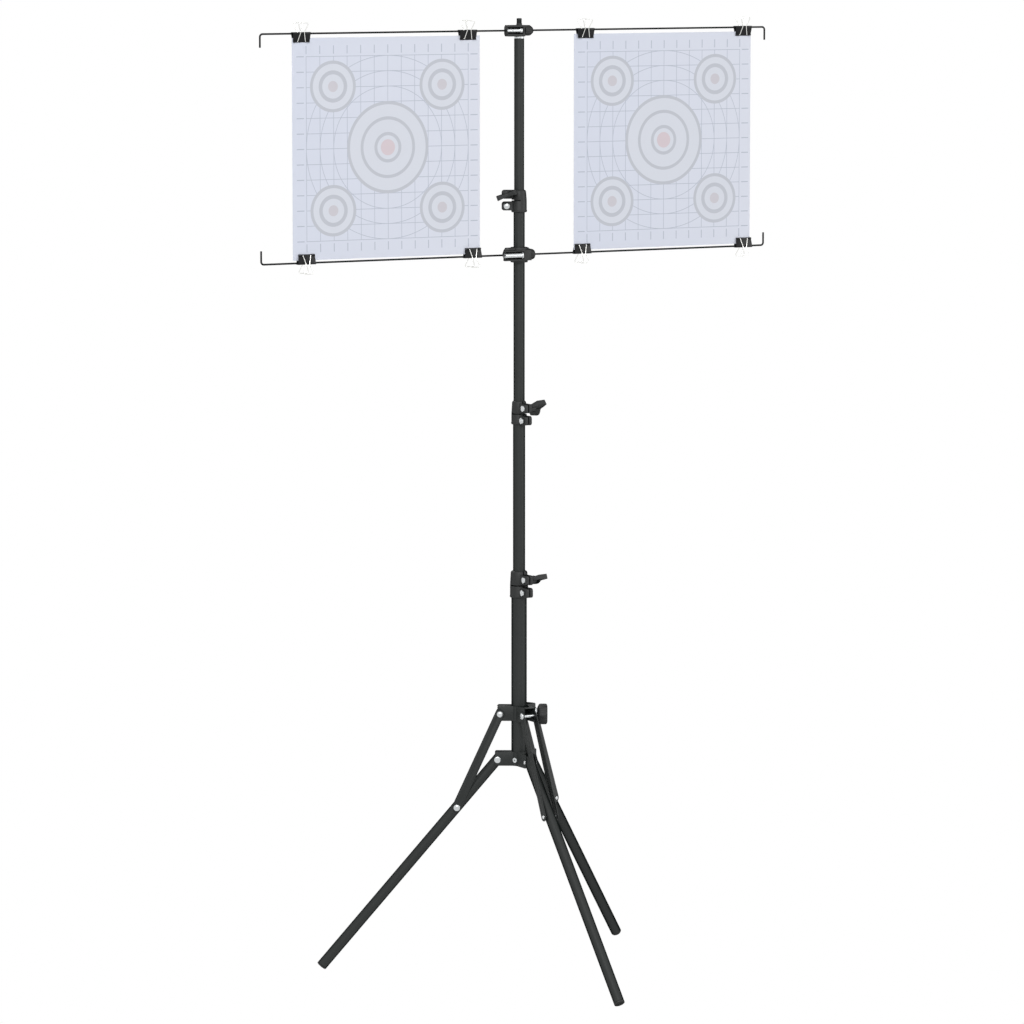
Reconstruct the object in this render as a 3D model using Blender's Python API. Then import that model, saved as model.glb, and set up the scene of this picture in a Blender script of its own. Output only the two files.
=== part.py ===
"""Telescopic tripod target stand with two crossbars, binder clips and two paper targets.

Metres, +Z up. The floor is z = 0 and the crossbars run along X. The column's axis is
at x = 0 and y = COLUMN_Y, so that the outline's middle is at y = 0.
"""

import math

import bmesh
import bpy
from mathutils import Matrix, Vector

MM = 0.001
TOUCH = 0.3 * MM
MERGE = 0.002 * MM
ROUND = 20
FINE_ROUND = 10
WIRE_SIDES = 5

# Telescopic column, from the widest tube up
TUBE_OD = (25.0 * MM, 19.6 * MM, 18.0 * MM, 16.0 * MM)
TUBE_WALL = (0.8 * MM, 0.5 * MM, 0.5 * MM, 0.5 * MM)
BASE_BELOW_LEG_PIVOT = 9.1 * MM
STEP_HEIGHT = (284.5 * MM, 277.7 * MM, 342.8 * MM, 257.0 * MM)
TUBE_IN_COLLAR = 1.2 * MM
TUBE_OVERLAP = (0.0, 57.0 * MM, 67.0 * MM, 79.0 * MM)
BUSH_LENGTH = 24.0 * MM
BUSH_LIP = 2.6 * MM
BUSH_BORE = 11.0 * MM

# Clamping collars
COLLAR_BELOW_SLOT = (19.9 * MM, 17.0 * MM, 19.2 * MM)
COLLAR_ABOVE_SLOT = (23.4 * MM, 21.1 * MM, 16.6 * MM)
COLLAR_RADIUS = (14.6 * MM, 12.4 * MM, 12.2 * MM)
COLLAR_TAPER = 1.1 * MM
COLLAR_CHAMFER = 2.4 * MM
COLLAR_AZIMUTH = (273.8, 273.8, 150.6)
COLLAR_EAR_REACH = (31.5 * MM, 28.0 * MM, 28.0 * MM)
COLLAR_BOLT_REACH = (22.0 * MM, 20.0 * MM, 19.8 * MM)
EAR_HALF_WIDTH = 6.2 * MM
EAR_HEIGHT = (15.6 * MM, 14.6 * MM, 13.8 * MM)
EAR_GAP = 4.8 * MM
EAR_CORNER = 4.0 * MM
SPLIT_WIDTH = 2.4 * MM
SLOT_HEIGHT = 1.8 * MM
BOLT_RADIUS = 2.5 * MM
BOLT_HEAD_RADIUS = 5.2 * MM
BOLT_HEAD_HEIGHT = 2.2 * MM
NUT_HEIGHT = 4.0 * MM
BOLT_STICKS_OUT = 6.0 * MM

# Wing knobs of the collars
WING_HUB_RADIUS = 6.4 * MM
WING_HUB_LENGTH = 10.0 * MM
WING_LENGTH = 24.5 * MM
WING_REACH = 16.6 * MM
WING_THICKNESS = (5.0 * MM, 8.0 * MM)
WING_ROOT = 8.7 * MM
WING_NOTCH_DEPTH = 3.4 * MM
WING_TURN = (-22.0, -40.0, 20.0)

# Tripod: spiders, legs and struts
ARM_AZIMUTH = {"front": 270.0, "right_rear": 30.0, "left_rear": 150.0}
LOWER_SPIDER_BELOW_PIVOT = 9.6 * MM
LOWER_SPIDER_ABOVE_PIVOT = 12.9 * MM
LEG_PIVOT_R = 34.8 * MM
LOWER_ARM_REACH = 40.2 * MM
ARM_CORNER = 1.6 * MM
SHEET = 0.9 * MM
LEG_OD = 17.2 * MM
LEG_WALL = 1.0 * MM
LEG_LENGTH = 446.5 * MM
LEG_TOP = 7.0 * MM
LEG_TILT = 40.0
PLUG_FLANGE = 2.4 * MM
PLUG_BODY = 12.0 * MM
STRUT_ALONG_LEG = 102.5 * MM
STRUT_LENGTH = 168.5 * MM
STRUT_PIVOT_R = 30.8 * MM
STRIP_WIDTH = 13.9 * MM
STRIP_THICKNESS = 1.2 * MM
UPPER_SPIDER_BELOW_PIVOT = 10.8 * MM
UPPER_SPIDER_ABOVE_PIVOT = 13.5 * MM
UPPER_ARM_REACH = 36.3 * MM
RIVET_RADIUS = 2.5 * MM
RIVET_HEAD_RADIUS = 5.3 * MM
RIVET_HEAD_HEIGHT = 0.8 * MM
PIVOT_SLOT_HEIGHT = 12.8 * MM
PIVOT_SLOT_WIDTH = 8.5 * MM
EYELET_RADIUS = 3.4 * MM
EYELET_BORE = 1.0 * MM
EYELET_HEIGHT = 1.1 * MM
EYELET_BELOW_LEG_PIVOT = 1.2 * MM
EYELET_AZIMUTH = (90.0, 210.0, 330.0)
SCREW_AZIMUTH = 330.0
SCREW_BELOW_PIVOT = 0.9 * MM
SCREW_RADIUS = 2.9 * MM
SCREW_KNOB_RADIUS = 16.8 * MM
SCREW_KNOB_NECK_RADIUS = 9.5 * MM
SCREW_KNOB_START = 29.0 * MM
SCREW_KNOB_END = 46.0 * MM
SCREW_KNOB_LOBES = 8
SCREW_KNOB_GROOVE = 1.6 * MM

# Crossbars and the clamps that hold them
TOP_ROD_ABOVE_COLUMN = 12.9 * MM
BOTTOM_ROD_BELOW_COLLAR = 87.3 * MM
ROD_RADIUS = 1.525 * MM
ROD_REACH = 460.7 * MM
ROD_HOOK = 21.0 * MM
ROD_BEND = 4.5 * MM
FERRULE_RADIUS = 3.9 * MM
FERRULE_FLANGE_RADIUS = 5.2 * MM
FERRULE_FLANGE = 3.9 * MM
TOP_CLAMP_LEFT = 25.0 * MM
TOP_CLAMP_RIGHT = 8.0 * MM
TOP_CLAMP_HALF_HEIGHT = (9.3 * MM, 8.6 * MM)
TOP_CLAMP_FRONT = 5.6 * MM
TOP_CLAMP_REAR = 7.4 * MM
TOP_WINDOW = (-23.6 * MM, 4.6 * MM)
TOP_FERRULE = (-23.2 * MM, 0.2 * MM)
LOWER_CLAMP_LEFT = 26.4 * MM
LOWER_CLAMP_RIGHT = 14.0 * MM
LOWER_CLAMP_HALF_HEIGHT = (11.9 * MM, 12.1 * MM)
LOWER_CLAMP_RADIUS = 13.6 * MM
LOWER_LUG_HALF_DEPTH = 7.6 * MM
LUG_HALF_HEIGHT = (8.6 * MM, 11.4 * MM)
BOSS_HALF_HEIGHT = 8.3 * MM
FRONT_BOSS = (-36.0 * MM, 13.9 * MM)
FRONT_BOSS_SLANT = 3.0 * MM
FRONT_WINDOW = (-34.4 * MM, -0.8 * MM)
FRONT_WINDOW_HEIGHT = 12.4 * MM
FRONT_BOSS_DEPTH = 18.0 * MM
FRONT_SCREW_Y = 15.4 * MM
FRONT_SCREW_END = -4.6 * MM
FRONT_SCREW_RADIUS = 4.0 * MM
FRONT_SCREW_HEAD_RADIUS = 5.7 * MM
FRONT_SCREW_HEAD = 2.0 * MM
FRONT_SCREW_TAIL = 2.0 * MM
WINDOW_HEIGHT = 11.2 * MM
TOP_KNOB_RADIUS = (8.4 * MM, 4.8 * MM)
TOP_KNOB_LENGTH = (10.4 * MM, 15.3 * MM)
LOWER_KNOB_RADIUS = (10.4 * MM, 7.2 * MM)
LOWER_KNOB_LENGTH = (1.2 * MM, 11.8 * MM)
CLAMP_KNOB_RIBS = 12
CLAMP_KNOB_RIB_DEPTH = 0.7 * MM
PLUG_NECK_RADIUS = 4.2 * MM
STUD_RADIUS = (4.5 * MM, 4.2 * MM)
STUD_TOP_ABOVE_ROD = 19.4 * MM

# Binder clips and paper targets
CLIP_WIDTH = 31.2 * MM
CLIP_LIP_WIDTH = 28.4 * MM
CLIP_DEPTH = 16.0 * MM
CLIP_SPINE_HALF = 4.1 * MM
CLIP_SHEET = 0.45 * MM
CLIP_PAST_ROD = 2.3 * MM
CURL_BORE_RADIUS = 1.0 * MM
CURL_INNER_X = 7.6 * MM
HANDLE_RADIUS = 0.7 * MM
HANDLE_LEAN = 15.0
HANDLE_LIP_HALF = 6.4 * MM
HANDLE_NECK_HALF = 3.3 * MM
HANDLE_LOOP_HALF = 8.0 * MM
HANDLE_LENGTH = 30.0 * MM
TOP_CLIP_INSET = (15.9 * MM, 22.1 * MM, 20.8 * MM, 15.4 * MM)
BOTTOM_CLIP_INSET = (23.2 * MM, 13.4 * MM, 15.6 * MM, 12.5 * MM)
CLIP_NAMES = ("left_outer", "left_inner", "right_inner", "right_outer")
PAPER_THICKNESS = 0.4 * MM
PAPER_WIDTH = 333.6 * MM
PRINTED_FIELD = 288.0 * MM
INK_THICKNESS = 0.1 * MM
LEFT_PAPER_INWARD = 4.95 * MM
RIGHT_PAPER_FROM_ROD_END = 26.3 * MM
PAPER_BELOW_TOP_ROD = 6.8 * MM
PAPER_ABOVE_BOTTOM_ROD = 4.1 * MM

# Places worked out from the sizes above
COS_TILT = math.cos(math.radians(LEG_TILT))
SIN_TILT = math.sin(math.radians(LEG_TILT))
LEG_PIVOT_Z = LEG_LENGTH * COS_TILT + LEG_OD / 2 * SIN_TILT
COLLAR_SLOT_Z = tuple(LEG_PIVOT_Z + sum(STEP_HEIGHT[: i + 1]) for i in range(3))
COLUMN_BASE_Z = LEG_PIVOT_Z - BASE_BELOW_LEG_PIVOT
COLUMN_TOP_Z = COLLAR_SLOT_Z[2] + STEP_HEIGHT[3]
TOP_ROD_Z = COLUMN_TOP_Z + TOP_ROD_ABOVE_COLUMN
BOTTOM_ROD_Z = COLLAR_SLOT_Z[2] - BOTTOM_ROD_BELOW_COLLAR
FOOT_R = LEG_PIVOT_R + LEG_LENGTH * SIN_TILT
STRUT_FOOT_R = LEG_PIVOT_R + STRUT_ALONG_LEG * SIN_TILT
STRUT_FOOT_Z = LEG_PIVOT_Z - STRUT_ALONG_LEG * COS_TILT
STRUT_RISE = math.sqrt(STRUT_LENGTH**2 - (STRUT_FOOT_R - STRUT_PIVOT_R) ** 2)
STRUT_PIVOT_Z = STRUT_FOOT_Z + STRUT_RISE
STRUT_TILT = math.degrees(math.asin((STRUT_FOOT_R - STRUT_PIVOT_R) / STRUT_LENGTH))
REAR_SPREAD = math.sin(math.radians(30.0))
FRONT_REACH = FOOT_R + LEG_OD / 2 * COS_TILT
REAR_REACH = FOOT_R * REAR_SPREAD + LEG_OD / 2 * math.sqrt(1 - (SIN_TILT * REAR_SPREAD) ** 2)
COLUMN_Y = (FRONT_REACH - REAR_REACH) / 2
ARM_INNER = LEG_OD / 2 + TOUCH
ARM_OUTER = ARM_INNER + SHEET
STRIP_INNER = ARM_OUTER + RIVET_HEAD_HEIGHT + TOUCH
STRIP_OUTER = STRIP_INNER + STRIP_THICKNESS
UPPER_ARM_OUTER = STRIP_INNER - TOUCH
UPPER_ARM_INNER = UPPER_ARM_OUTER - SHEET
SPIDER_BORE_R = TUBE_OD[0] / 2 + TOUCH
CURL_RADIUS = CURL_BORE_RADIUS + CLIP_SHEET
LIP_GAP = PAPER_THICKNESS / 2 + TOUCH
# The left sheet hangs near the middle of its rod's free length, the right one at a set gap from the rod's end
PAPER_LEFT_X = LEFT_PAPER_INWARD - (ROD_REACH + LOWER_CLAMP_LEFT) / 2
PAPER_RIGHT_X = ROD_REACH - RIGHT_PAPER_FROM_ROD_END - PAPER_WIDTH / 2
PAPER_EDGES = tuple(x + side * PAPER_WIDTH / 2 for x in (PAPER_LEFT_X, PAPER_RIGHT_X) for side in (-1, 1))
TOP_CLIP_X = tuple(edge + side * inset for edge, side, inset in zip(PAPER_EDGES, (1, -1, 1, -1), TOP_CLIP_INSET))
BOTTOM_CLIP_X = tuple(edge + side * inset for edge, side, inset in zip(PAPER_EDGES, (1, -1, 1, -1), BOTTOM_CLIP_INSET))


def clear_scene():
    for item in list(bpy.data.objects):
        bpy.data.objects.remove(item, do_unlink=True)


def make_material(name, colour, roughness, metallic):
    material = bpy.data.materials.new(name)
    material.use_nodes = True
    shader = material.node_tree.nodes["Principled BSDF"]
    shader.inputs["Base Color"].default_value = (*colour, 1.0)
    shader.inputs["Roughness"].default_value = roughness
    shader.inputs["Metallic"].default_value = metallic
    material.diffuse_color = (*colour, 1.0)
    return material


def object_from(bm, name, material):
    """Turn a bmesh into a named object with round faces shaded smooth."""
    bmesh.ops.remove_doubles(bm, verts=bm.verts, dist=1e-7)
    bmesh.ops.recalc_face_normals(bm, faces=bm.faces)
    mesh = bpy.data.meshes.new(name)
    bm.to_mesh(mesh)
    bm.free()
    mesh.shade_smooth()
    mesh.set_sharp_from_angle(angle=math.radians(35))
    made = bpy.data.objects.new(name, mesh)
    bpy.context.collection.objects.link(made)
    made.data.materials.append(material)
    return made


def turned(profile, segments=ROUND):
    """A closed profile of (radius, height) points turned about Z."""
    bm = bmesh.new()
    points = [bm.verts.new((r, 0.0, z)) for r, z in profile]
    edges = [bm.edges.new((points[i - 1], points[i])) for i in range(len(points))]
    for step_edge in [e for e in edges if all(v.co.x == 0.0 for v in e.verts)]:
        bm.edges.remove(step_edge)
    bmesh.ops.spin(
        bm,
        geom=list(bm.verts) + list(bm.edges),
        angle=2 * math.pi,
        steps=segments,
        axis=(0, 0, 1),
        cent=(0, 0, 0),
        use_merge=True,
    )
    bmesh.ops.remove_doubles(bm, verts=bm.verts, dist=1e-7)
    return bm


def rounded(points, radius, steps=4):
    """A 2-D outline with each corner replaced by an arc."""
    outline = []
    count = len(points)
    for i in range(count):
        corner = Vector(points[i])
        before = (Vector(points[i - 1]) - corner).normalized()
        after = (Vector(points[(i + 1) % count]) - corner).normalized()
        half = before.angle(after) / 2
        setback = radius / math.tan(half)
        centre = corner + (before + after).normalized() * radius / math.sin(half)
        start = corner + before * setback - centre
        end = corner + after * setback - centre
        turn = start.angle_signed(end)
        for step in range(steps + 1):
            angle = -turn * step / steps
            spin = Matrix.Rotation(angle, 2)
            outline.append(tuple(centre + spin @ start))
    return outline


def prism(outline, low, high, axes="xy"):
    """Extrude a 2-D outline between two levels along the remaining axis."""
    order = {"xy": (0, 1, 2), "xz": (0, 2, 1), "yz": (1, 2, 0)}[axes]
    bm = bmesh.new()
    rings = []
    for level in (low, high):
        ring = []
        for u, v in outline:
            place = [0.0, 0.0, 0.0]
            place[order[0]] = u
            place[order[1]] = v
            place[order[2]] = level
            ring.append(bm.verts.new(place))
        rings.append(ring)
    for i in range(len(outline)):
        bm.faces.new((rings[0][i - 1], rings[0][i], rings[1][i], rings[1][i - 1]))
    bm.faces.new(rings[0])
    bm.faces.new(rings[1])
    return bm


def box(low, high):
    corners = [(low[0], low[1]), (high[0], low[1]), (high[0], high[1]), (low[0], high[1])]
    return prism(corners, low[2], high[2])


def cylinder(radius, low, high, segments=FINE_ROUND):
    return turned([(0.0, low), (radius, low), (radius, high), (0.0, high)], segments)


def along_x(bm):
    """Turn a shape made about Z so that it lies along X."""
    bmesh.ops.rotate(bm, verts=bm.verts, cent=(0, 0, 0), matrix=Matrix.Rotation(math.pi / 2, 3, "Y"))
    return bm


def along_y(bm):
    """Turn a shape made about Z so that it lies along Y."""
    bmesh.ops.rotate(bm, verts=bm.verts, cent=(0, 0, 0), matrix=Matrix.Rotation(-math.pi / 2, 3, "X"))
    return bm


def shifted(bm, offset):
    bmesh.ops.translate(bm, verts=bm.verts, vec=offset)
    return bm


def turned_about_z(bm, degrees):
    spin = Matrix.Rotation(math.radians(degrees), 3, "Z")
    bmesh.ops.rotate(bm, verts=bm.verts, cent=(0, 0, 0), matrix=spin)
    return bm


def boolean(target, bm, operation):
    """Join a shape to the target or cut it away, and drop the tool."""
    tool = object_from(bm, "tool", target.data.materials[0])
    modifier = target.modifiers.new("step", "BOOLEAN")
    modifier.operation = operation
    modifier.object = tool
    bpy.context.view_layer.update()
    graph = bpy.context.evaluated_depsgraph_get()
    result = bpy.data.meshes.new_from_object(target.evaluated_get(graph))
    target.modifiers.remove(modifier)
    bm = bmesh.new()
    bm.from_mesh(result)
    bmesh.ops.remove_doubles(bm, verts=bm.verts, dist=MERGE)
    bmesh.ops.dissolve_degenerate(bm, edges=bm.edges, dist=MERGE)
    bm.to_mesh(result)
    bm.free()
    result.name = target.name
    target.data = result
    result.shade_smooth()
    result.set_sharp_from_angle(angle=math.radians(35))
    bpy.data.objects.remove(tool, do_unlink=True)


def join(target, *shapes):
    for bm in shapes:
        boolean(target, bm, "UNION")


def cut(target, *shapes):
    for bm in shapes:
        boolean(target, bm, "DIFFERENCE")


def wire(points, radius, sides, normal):
    """A round wire through points that lie in one plane with the given normal."""
    bm = bmesh.new()
    rings = []
    normal = Vector(normal)
    points = [Vector(p) for p in points]
    for i, point in enumerate(points):
        back = (point - points[i - 1]).normalized() if i > 0 else None
        ahead = (points[i + 1] - point).normalized() if i < len(points) - 1 else None
        back = back or ahead
        ahead = ahead or back
        tangent = (back + ahead).normalized()
        side = tangent.cross(normal).normalized()
        stretch = 1.0 / max(0.5, tangent.dot(ahead))
        ring = []
        for k in range(sides):
            angle = 2 * math.pi * (k + 0.5) / sides
            offset = side * (radius * stretch * math.cos(angle)) + normal * (radius * math.sin(angle))
            ring.append(bm.verts.new(point + offset))
        rings.append(ring)
    for first, second in zip(rings, rings[1:]):
        for k in range(sides):
            bm.faces.new((first[k - 1], first[k], second[k], second[k - 1]))
    bm.faces.new(rings[0])
    bm.faces.new(rings[-1])
    return bm


def arc(centre, radius, start, end, steps):
    """Points of a 2-D arc, angles in degrees."""
    made = []
    for step in range(steps + 1):
        angle = math.radians(start + (end - start) * step / steps)
        made.append((centre[0] + radius * math.cos(angle), centre[1] + radius * math.sin(angle)))
    return made


def tube_bottom(index):
    if index == 0:
        return COLUMN_BASE_Z
    return COLLAR_SLOT_Z[index - 1] - TUBE_OVERLAP[index]


def tube_top(index):
    if index == 3:
        return COLUMN_TOP_Z
    return COLLAR_SLOT_Z[index] - TUBE_IN_COLLAR


def tube_inner(index):
    return TUBE_OD[index] / 2 - TUBE_WALL[index]


def add_column_tube(index, material):
    low = tube_bottom(index)
    high = tube_top(index)
    outer = TUBE_OD[index] / 2
    inner = tube_inner(index)
    profile = [(outer, high), (outer, low), (inner, low), (inner, high)]
    tube = object_from(turned(profile), f"section_{index + 1}_tube", material)
    if index == 0:
        for azimuth in EYELET_AZIMUTH:
            hole = along_x(cylinder(EYELET_BORE + 4 * TOUCH, inner - MM, outer + MM))
            height = LEG_PIVOT_Z - EYELET_BELOW_LEG_PIVOT
            cut(tube, turned_about_z(shifted(hole, (0, 0, height)), azimuth))
    tube.location = (0.0, COLUMN_Y, 0.0)
    return tube


def add_guide_bush(index, material):
    """The plastic bush at a section's lower end, running in the tube below."""
    end = tube_bottom(index)
    running = tube_inner(index - 1) - TOUCH
    lip_low = end - TOUCH - BUSH_LIP
    lip_high = end - TOUCH
    outer = TUBE_OD[index] / 2
    if running - outer > 2 * MM:
        sleeve = outer + TOUCH
        profile = [
            (running, end + BUSH_LENGTH),
            (running, lip_low),
            (BUSH_BORE / 2 + MM, lip_low),
            (BUSH_BORE / 2 + MM, lip_high),
            (sleeve, lip_high),
            (sleeve, end + BUSH_LENGTH),
        ]
    else:
        body = tube_inner(index) - TOUCH
        profile = [
            (body, end + BUSH_LENGTH),
            (body, lip_high),
            (running, lip_high),
            (running, lip_low),
            (BUSH_BORE / 2, lip_low),
            (BUSH_BORE / 2, end + BUSH_LENGTH),
        ]
    bush = object_from(turned(profile), f"section_{index + 1}_guide_bush", material)
    bush.location = (0.0, COLUMN_Y, 0.0)
    return bush


def ear_block(index, low, high):
    """The pair of clamping ears, as one block with rounded outer corners."""
    reach = COLLAR_EAR_REACH[index]
    inner = COLLAR_RADIUS[index] * 0.6
    outline = [
        (inner, low),
        (reach - EAR_CORNER, low),
        *arc((reach - EAR_CORNER, low + EAR_CORNER), EAR_CORNER, -90, 0, 4)[1:],
        *arc((reach - EAR_CORNER, high - EAR_CORNER), EAR_CORNER, 0, 90, 4),
        (inner, high),
    ]
    return prism(outline, -EAR_HALF_WIDTH, EAR_HALF_WIDTH, "xz")


def ear_middle(index, side):
    """Height of a bolt above or below the slot."""
    return side * (EAR_GAP + EAR_HEIGHT[index]) / 2


def add_collar(index, material):
    """Split collar: the lower half grips its own tube, the upper half the next one."""
    slot = COLLAR_SLOT_Z[index]
    radius = COLLAR_RADIUS[index]
    top = COLLAR_ABOVE_SLOT[index]
    base = -COLLAR_BELOW_SLOT[index]
    lower_bore = TUBE_OD[index] / 2 + TOUCH
    upper_bore = TUBE_OD[index + 1] / 2 + TOUCH
    top_radius = radius - COLLAR_TAPER
    barrel = turned(
        [
            (0.0, top),
            (top_radius - COLLAR_CHAMFER, top),
            (top_radius, top - COLLAR_CHAMFER),
            (radius, 0.0),
            (radius, base + MM),
            (radius - MM, base),
            (0.0, base),
        ]
    )
    collar = object_from(barrel, f"collar_{index + 1}", material)
    near = EAR_GAP / 2
    far = near + EAR_HEIGHT[index]
    join(collar, ear_block(index, near, far), ear_block(index, -far, -near))
    step = -TUBE_IN_COLLAR + TOUCH
    bore = [(0.0, base - MM), (lower_bore, base - MM), (lower_bore, step), (upper_bore, step),
            (upper_bore, top + MM), (0.0, top + MM)]
    reach = COLLAR_EAR_REACH[index] + MM
    cut(
        collar,
        turned(bore),
        box((0.0, -SPLIT_WIDTH / 2, base - MM), (reach, SPLIT_WIDTH / 2, top + MM)),
        box((-radius * 0.2, -2 * radius, -SLOT_HEIGHT / 2), (reach, 2 * radius, SLOT_HEIGHT / 2)),
    )
    for side, shapes in ((1, [wing_bolt()]), (-1, [fixing_bolt(), fixing_nut()])):
        for shape in shapes:
            join(collar, shifted(along_y(shape), (COLLAR_BOLT_REACH[index], 0.0, ear_middle(index, side))))
    collar.location = (0.0, COLUMN_Y, slot)
    collar.rotation_euler = (0.0, 0.0, math.radians(COLLAR_AZIMUTH[index]))
    return collar


def wing_bolt():
    """Bolt about Z whose thread stands out on the wing knob's side."""
    ear = EAR_HALF_WIDTH
    end = ear + BOLT_STICKS_OUT
    return turned(
        [(0.0, -ear - BOLT_HEAD_HEIGHT), (BOLT_HEAD_RADIUS, -ear - BOLT_HEAD_HEIGHT), (BOLT_HEAD_RADIUS, -ear + TOUCH),
         (BOLT_RADIUS, -ear + TOUCH), (BOLT_RADIUS, end), (0.0, end)],
        FINE_ROUND,
    )


def fixing_bolt():
    """Bolt about Z with its head on the wing knob's side."""
    ear = EAR_HALF_WIDTH
    end = -ear - NUT_HEIGHT - MM
    return turned(
        [(0.0, end), (BOLT_RADIUS, end), (BOLT_RADIUS, ear - TOUCH), (BOLT_HEAD_RADIUS, ear - TOUCH),
         (BOLT_HEAD_RADIUS, ear + BOLT_HEAD_HEIGHT), (0.0, ear + BOLT_HEAD_HEIGHT)],
        FINE_ROUND,
    )


def fixing_nut():
    """Hexagon nut on the fixing bolt."""
    corners = [math.radians(60 * k + 30) for k in range(6)]
    outline = [(BOLT_HEAD_RADIUS * math.cos(a), BOLT_HEAD_RADIUS * math.sin(a)) for a in corners]
    return prism(outline, -EAR_HALF_WIDTH - NUT_HEIGHT, -EAR_HALF_WIDTH + TOUCH)


def wing_outline(side):
    """Half the butterfly shape of a wing knob, across and along its screw."""
    half = [
        (WING_HUB_RADIUS - 0.6 * MM, 0.0),
        (WING_REACH - 1.4 * MM, WING_ROOT),
        *arc((WING_REACH - 3.4 * MM, WING_LENGTH - 3.4 * MM), 3.4 * MM, 0, 100, 4),
        (WING_HUB_RADIUS * 0.55, WING_LENGTH - WING_NOTCH_DEPTH + MM),
        (0.0, WING_LENGTH - WING_NOTCH_DEPTH),
        (0.0, 0.0),
    ]
    return [(side * u, v) for u, v in half]


def wing(side):
    """One wing of a knob, thicker towards its tip."""
    root, tip = WING_THICKNESS
    bm = prism(wing_outline(side), -0.5, 0.5, "xz")
    for v in bm.verts:
        v.co.y *= root + (tip - root) * abs(v.co.x) / WING_REACH
    return bm


def add_wing_knob(index, material):
    """The wing nut that tightens a collar's upper half."""
    hub = turned(
        [
            (BOLT_RADIUS + TOUCH, 0.0),
            (WING_HUB_RADIUS, 0.0),
            (WING_HUB_RADIUS, WING_HUB_LENGTH - MM),
            (WING_HUB_RADIUS - MM, WING_HUB_LENGTH),
            (0.0, WING_HUB_LENGTH),
            (0.0, BOLT_STICKS_OUT + TOUCH),
            (BOLT_RADIUS + TOUCH, BOLT_STICKS_OUT + TOUCH),
        ],
        FINE_ROUND,
    )
    knob = object_from(hub, f"collar_{index + 1}_wing_knob", material)
    join(knob, wing(-1), wing(1))
    cut(knob, cylinder(BOLT_RADIUS + TOUCH, -MM, BOLT_STICKS_OUT + TOUCH))
    azimuth = math.radians(COLLAR_AZIMUTH[index])
    outward = Vector((math.cos(azimuth), math.sin(azimuth), 0.0))
    side = Vector((-math.sin(azimuth), math.cos(azimuth), 0.0))
    seat = outward * COLLAR_BOLT_REACH[index] + side * (EAR_HALF_WIDTH + TOUCH)
    knob.location = seat + Vector((0.0, COLUMN_Y, COLLAR_SLOT_Z[index] + ear_middle(index, 1)))
    spin = Matrix.Rotation(math.radians(WING_TURN[index]), 3, side)
    frame = Matrix((outward, Vector((0, 0, -1)), side)).transposed()
    knob.rotation_euler = (spin @ frame).to_euler()
    return knob


def arm_frame(obj, azimuth, radius, height, tilt=0.0):
    """Place an object on a tripod arm: its local X is outward and its Z is up."""
    angle = math.radians(azimuth)
    obj.location = (radius * math.cos(angle), COLUMN_Y + radius * math.sin(angle), height)
    obj.rotation_euler = (0.0, -math.radians(tilt), angle)


def cross_rivet(outer, at, radius=RIVET_RADIUS):
    """A rivet across an arm, from head to head, about the lateral axis at a point."""
    head = RIVET_HEAD_HEIGHT
    profile = [
        (0.0, -outer - head),
        (RIVET_HEAD_RADIUS * 0.8, -outer - head),
        (RIVET_HEAD_RADIUS, -outer + TOUCH / 2),
        (radius, -outer + TOUCH / 2),
        (radius, outer - TOUCH / 2),
        (RIVET_HEAD_RADIUS, outer - TOUCH / 2),
        (RIVET_HEAD_RADIUS * 0.8, outer + head),
        (0.0, outer + head),
    ]
    return shifted(along_y(turned(profile, FINE_ROUND)), (at[0], 0.0, at[1]))


def spider_outline(reach, half_width, ring_radius):
    """Plan of a spider: a ring round the column with three arms of full width."""
    root = math.degrees(math.asin(half_width / ring_radius))
    outline = []
    for azimuth in sorted(ARM_AZIMUTH.values()):
        spin = Matrix.Rotation(math.radians(azimuth), 2)
        for side in (-1, 1):
            tip = tuple(spin @ Vector((reach + MM, side * half_width)))
            start = azimuth + root if side > 0 else azimuth - root
            foot = arc((0.0, 0.0), ring_radius, start, start, 1)[0]
            outline += [foot, tip] if side < 0 else [tip, foot]
        outline += arc((0.0, 0.0), ring_radius, azimuth + root, azimuth + 120.0 - root, 6)[1:-1]
    return outline


def channel_outline(reach, half_width, ring_radius):
    """Plan of the space between an arm's two walls, up to the ring."""
    root = math.degrees(math.asin(half_width / ring_radius))
    return [*arc((0.0, 0.0), ring_radius, root, -root, 6), (reach + 2 * MM, -half_width), (reach + 2 * MM, half_width)]


def spider_envelope(reach, low, high, corner):
    """Turned shape that rounds the arms' ends and bevels their corners."""
    return turned(
        [
            (0.0, low - MM),
            (reach - corner - MM, low - MM),
            (reach, low + corner),
            (reach, high - corner),
            (reach - corner - MM, high + MM),
            (0.0, high + MM),
        ],
        2 * ROUND,
    )


def pressed_spider(name, material, low, high, reach, inner, outer, ring_radius, roof):
    """Sheet-metal spider with channel arms; a roof leaves their top closed."""
    spider = object_from(prism(spider_outline(reach, outer, ring_radius), low, high), name, material)
    channel_top = high - SHEET if roof else high + MM
    channel = channel_outline(reach, inner, ring_radius)
    for azimuth in ARM_AZIMUTH.values():
        cut(spider, turned_about_z(prism(channel, low - MM, channel_top), azimuth))
    boolean(spider, spider_envelope(reach, low, high, ARM_CORNER), "INTERSECT")
    return spider


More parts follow.
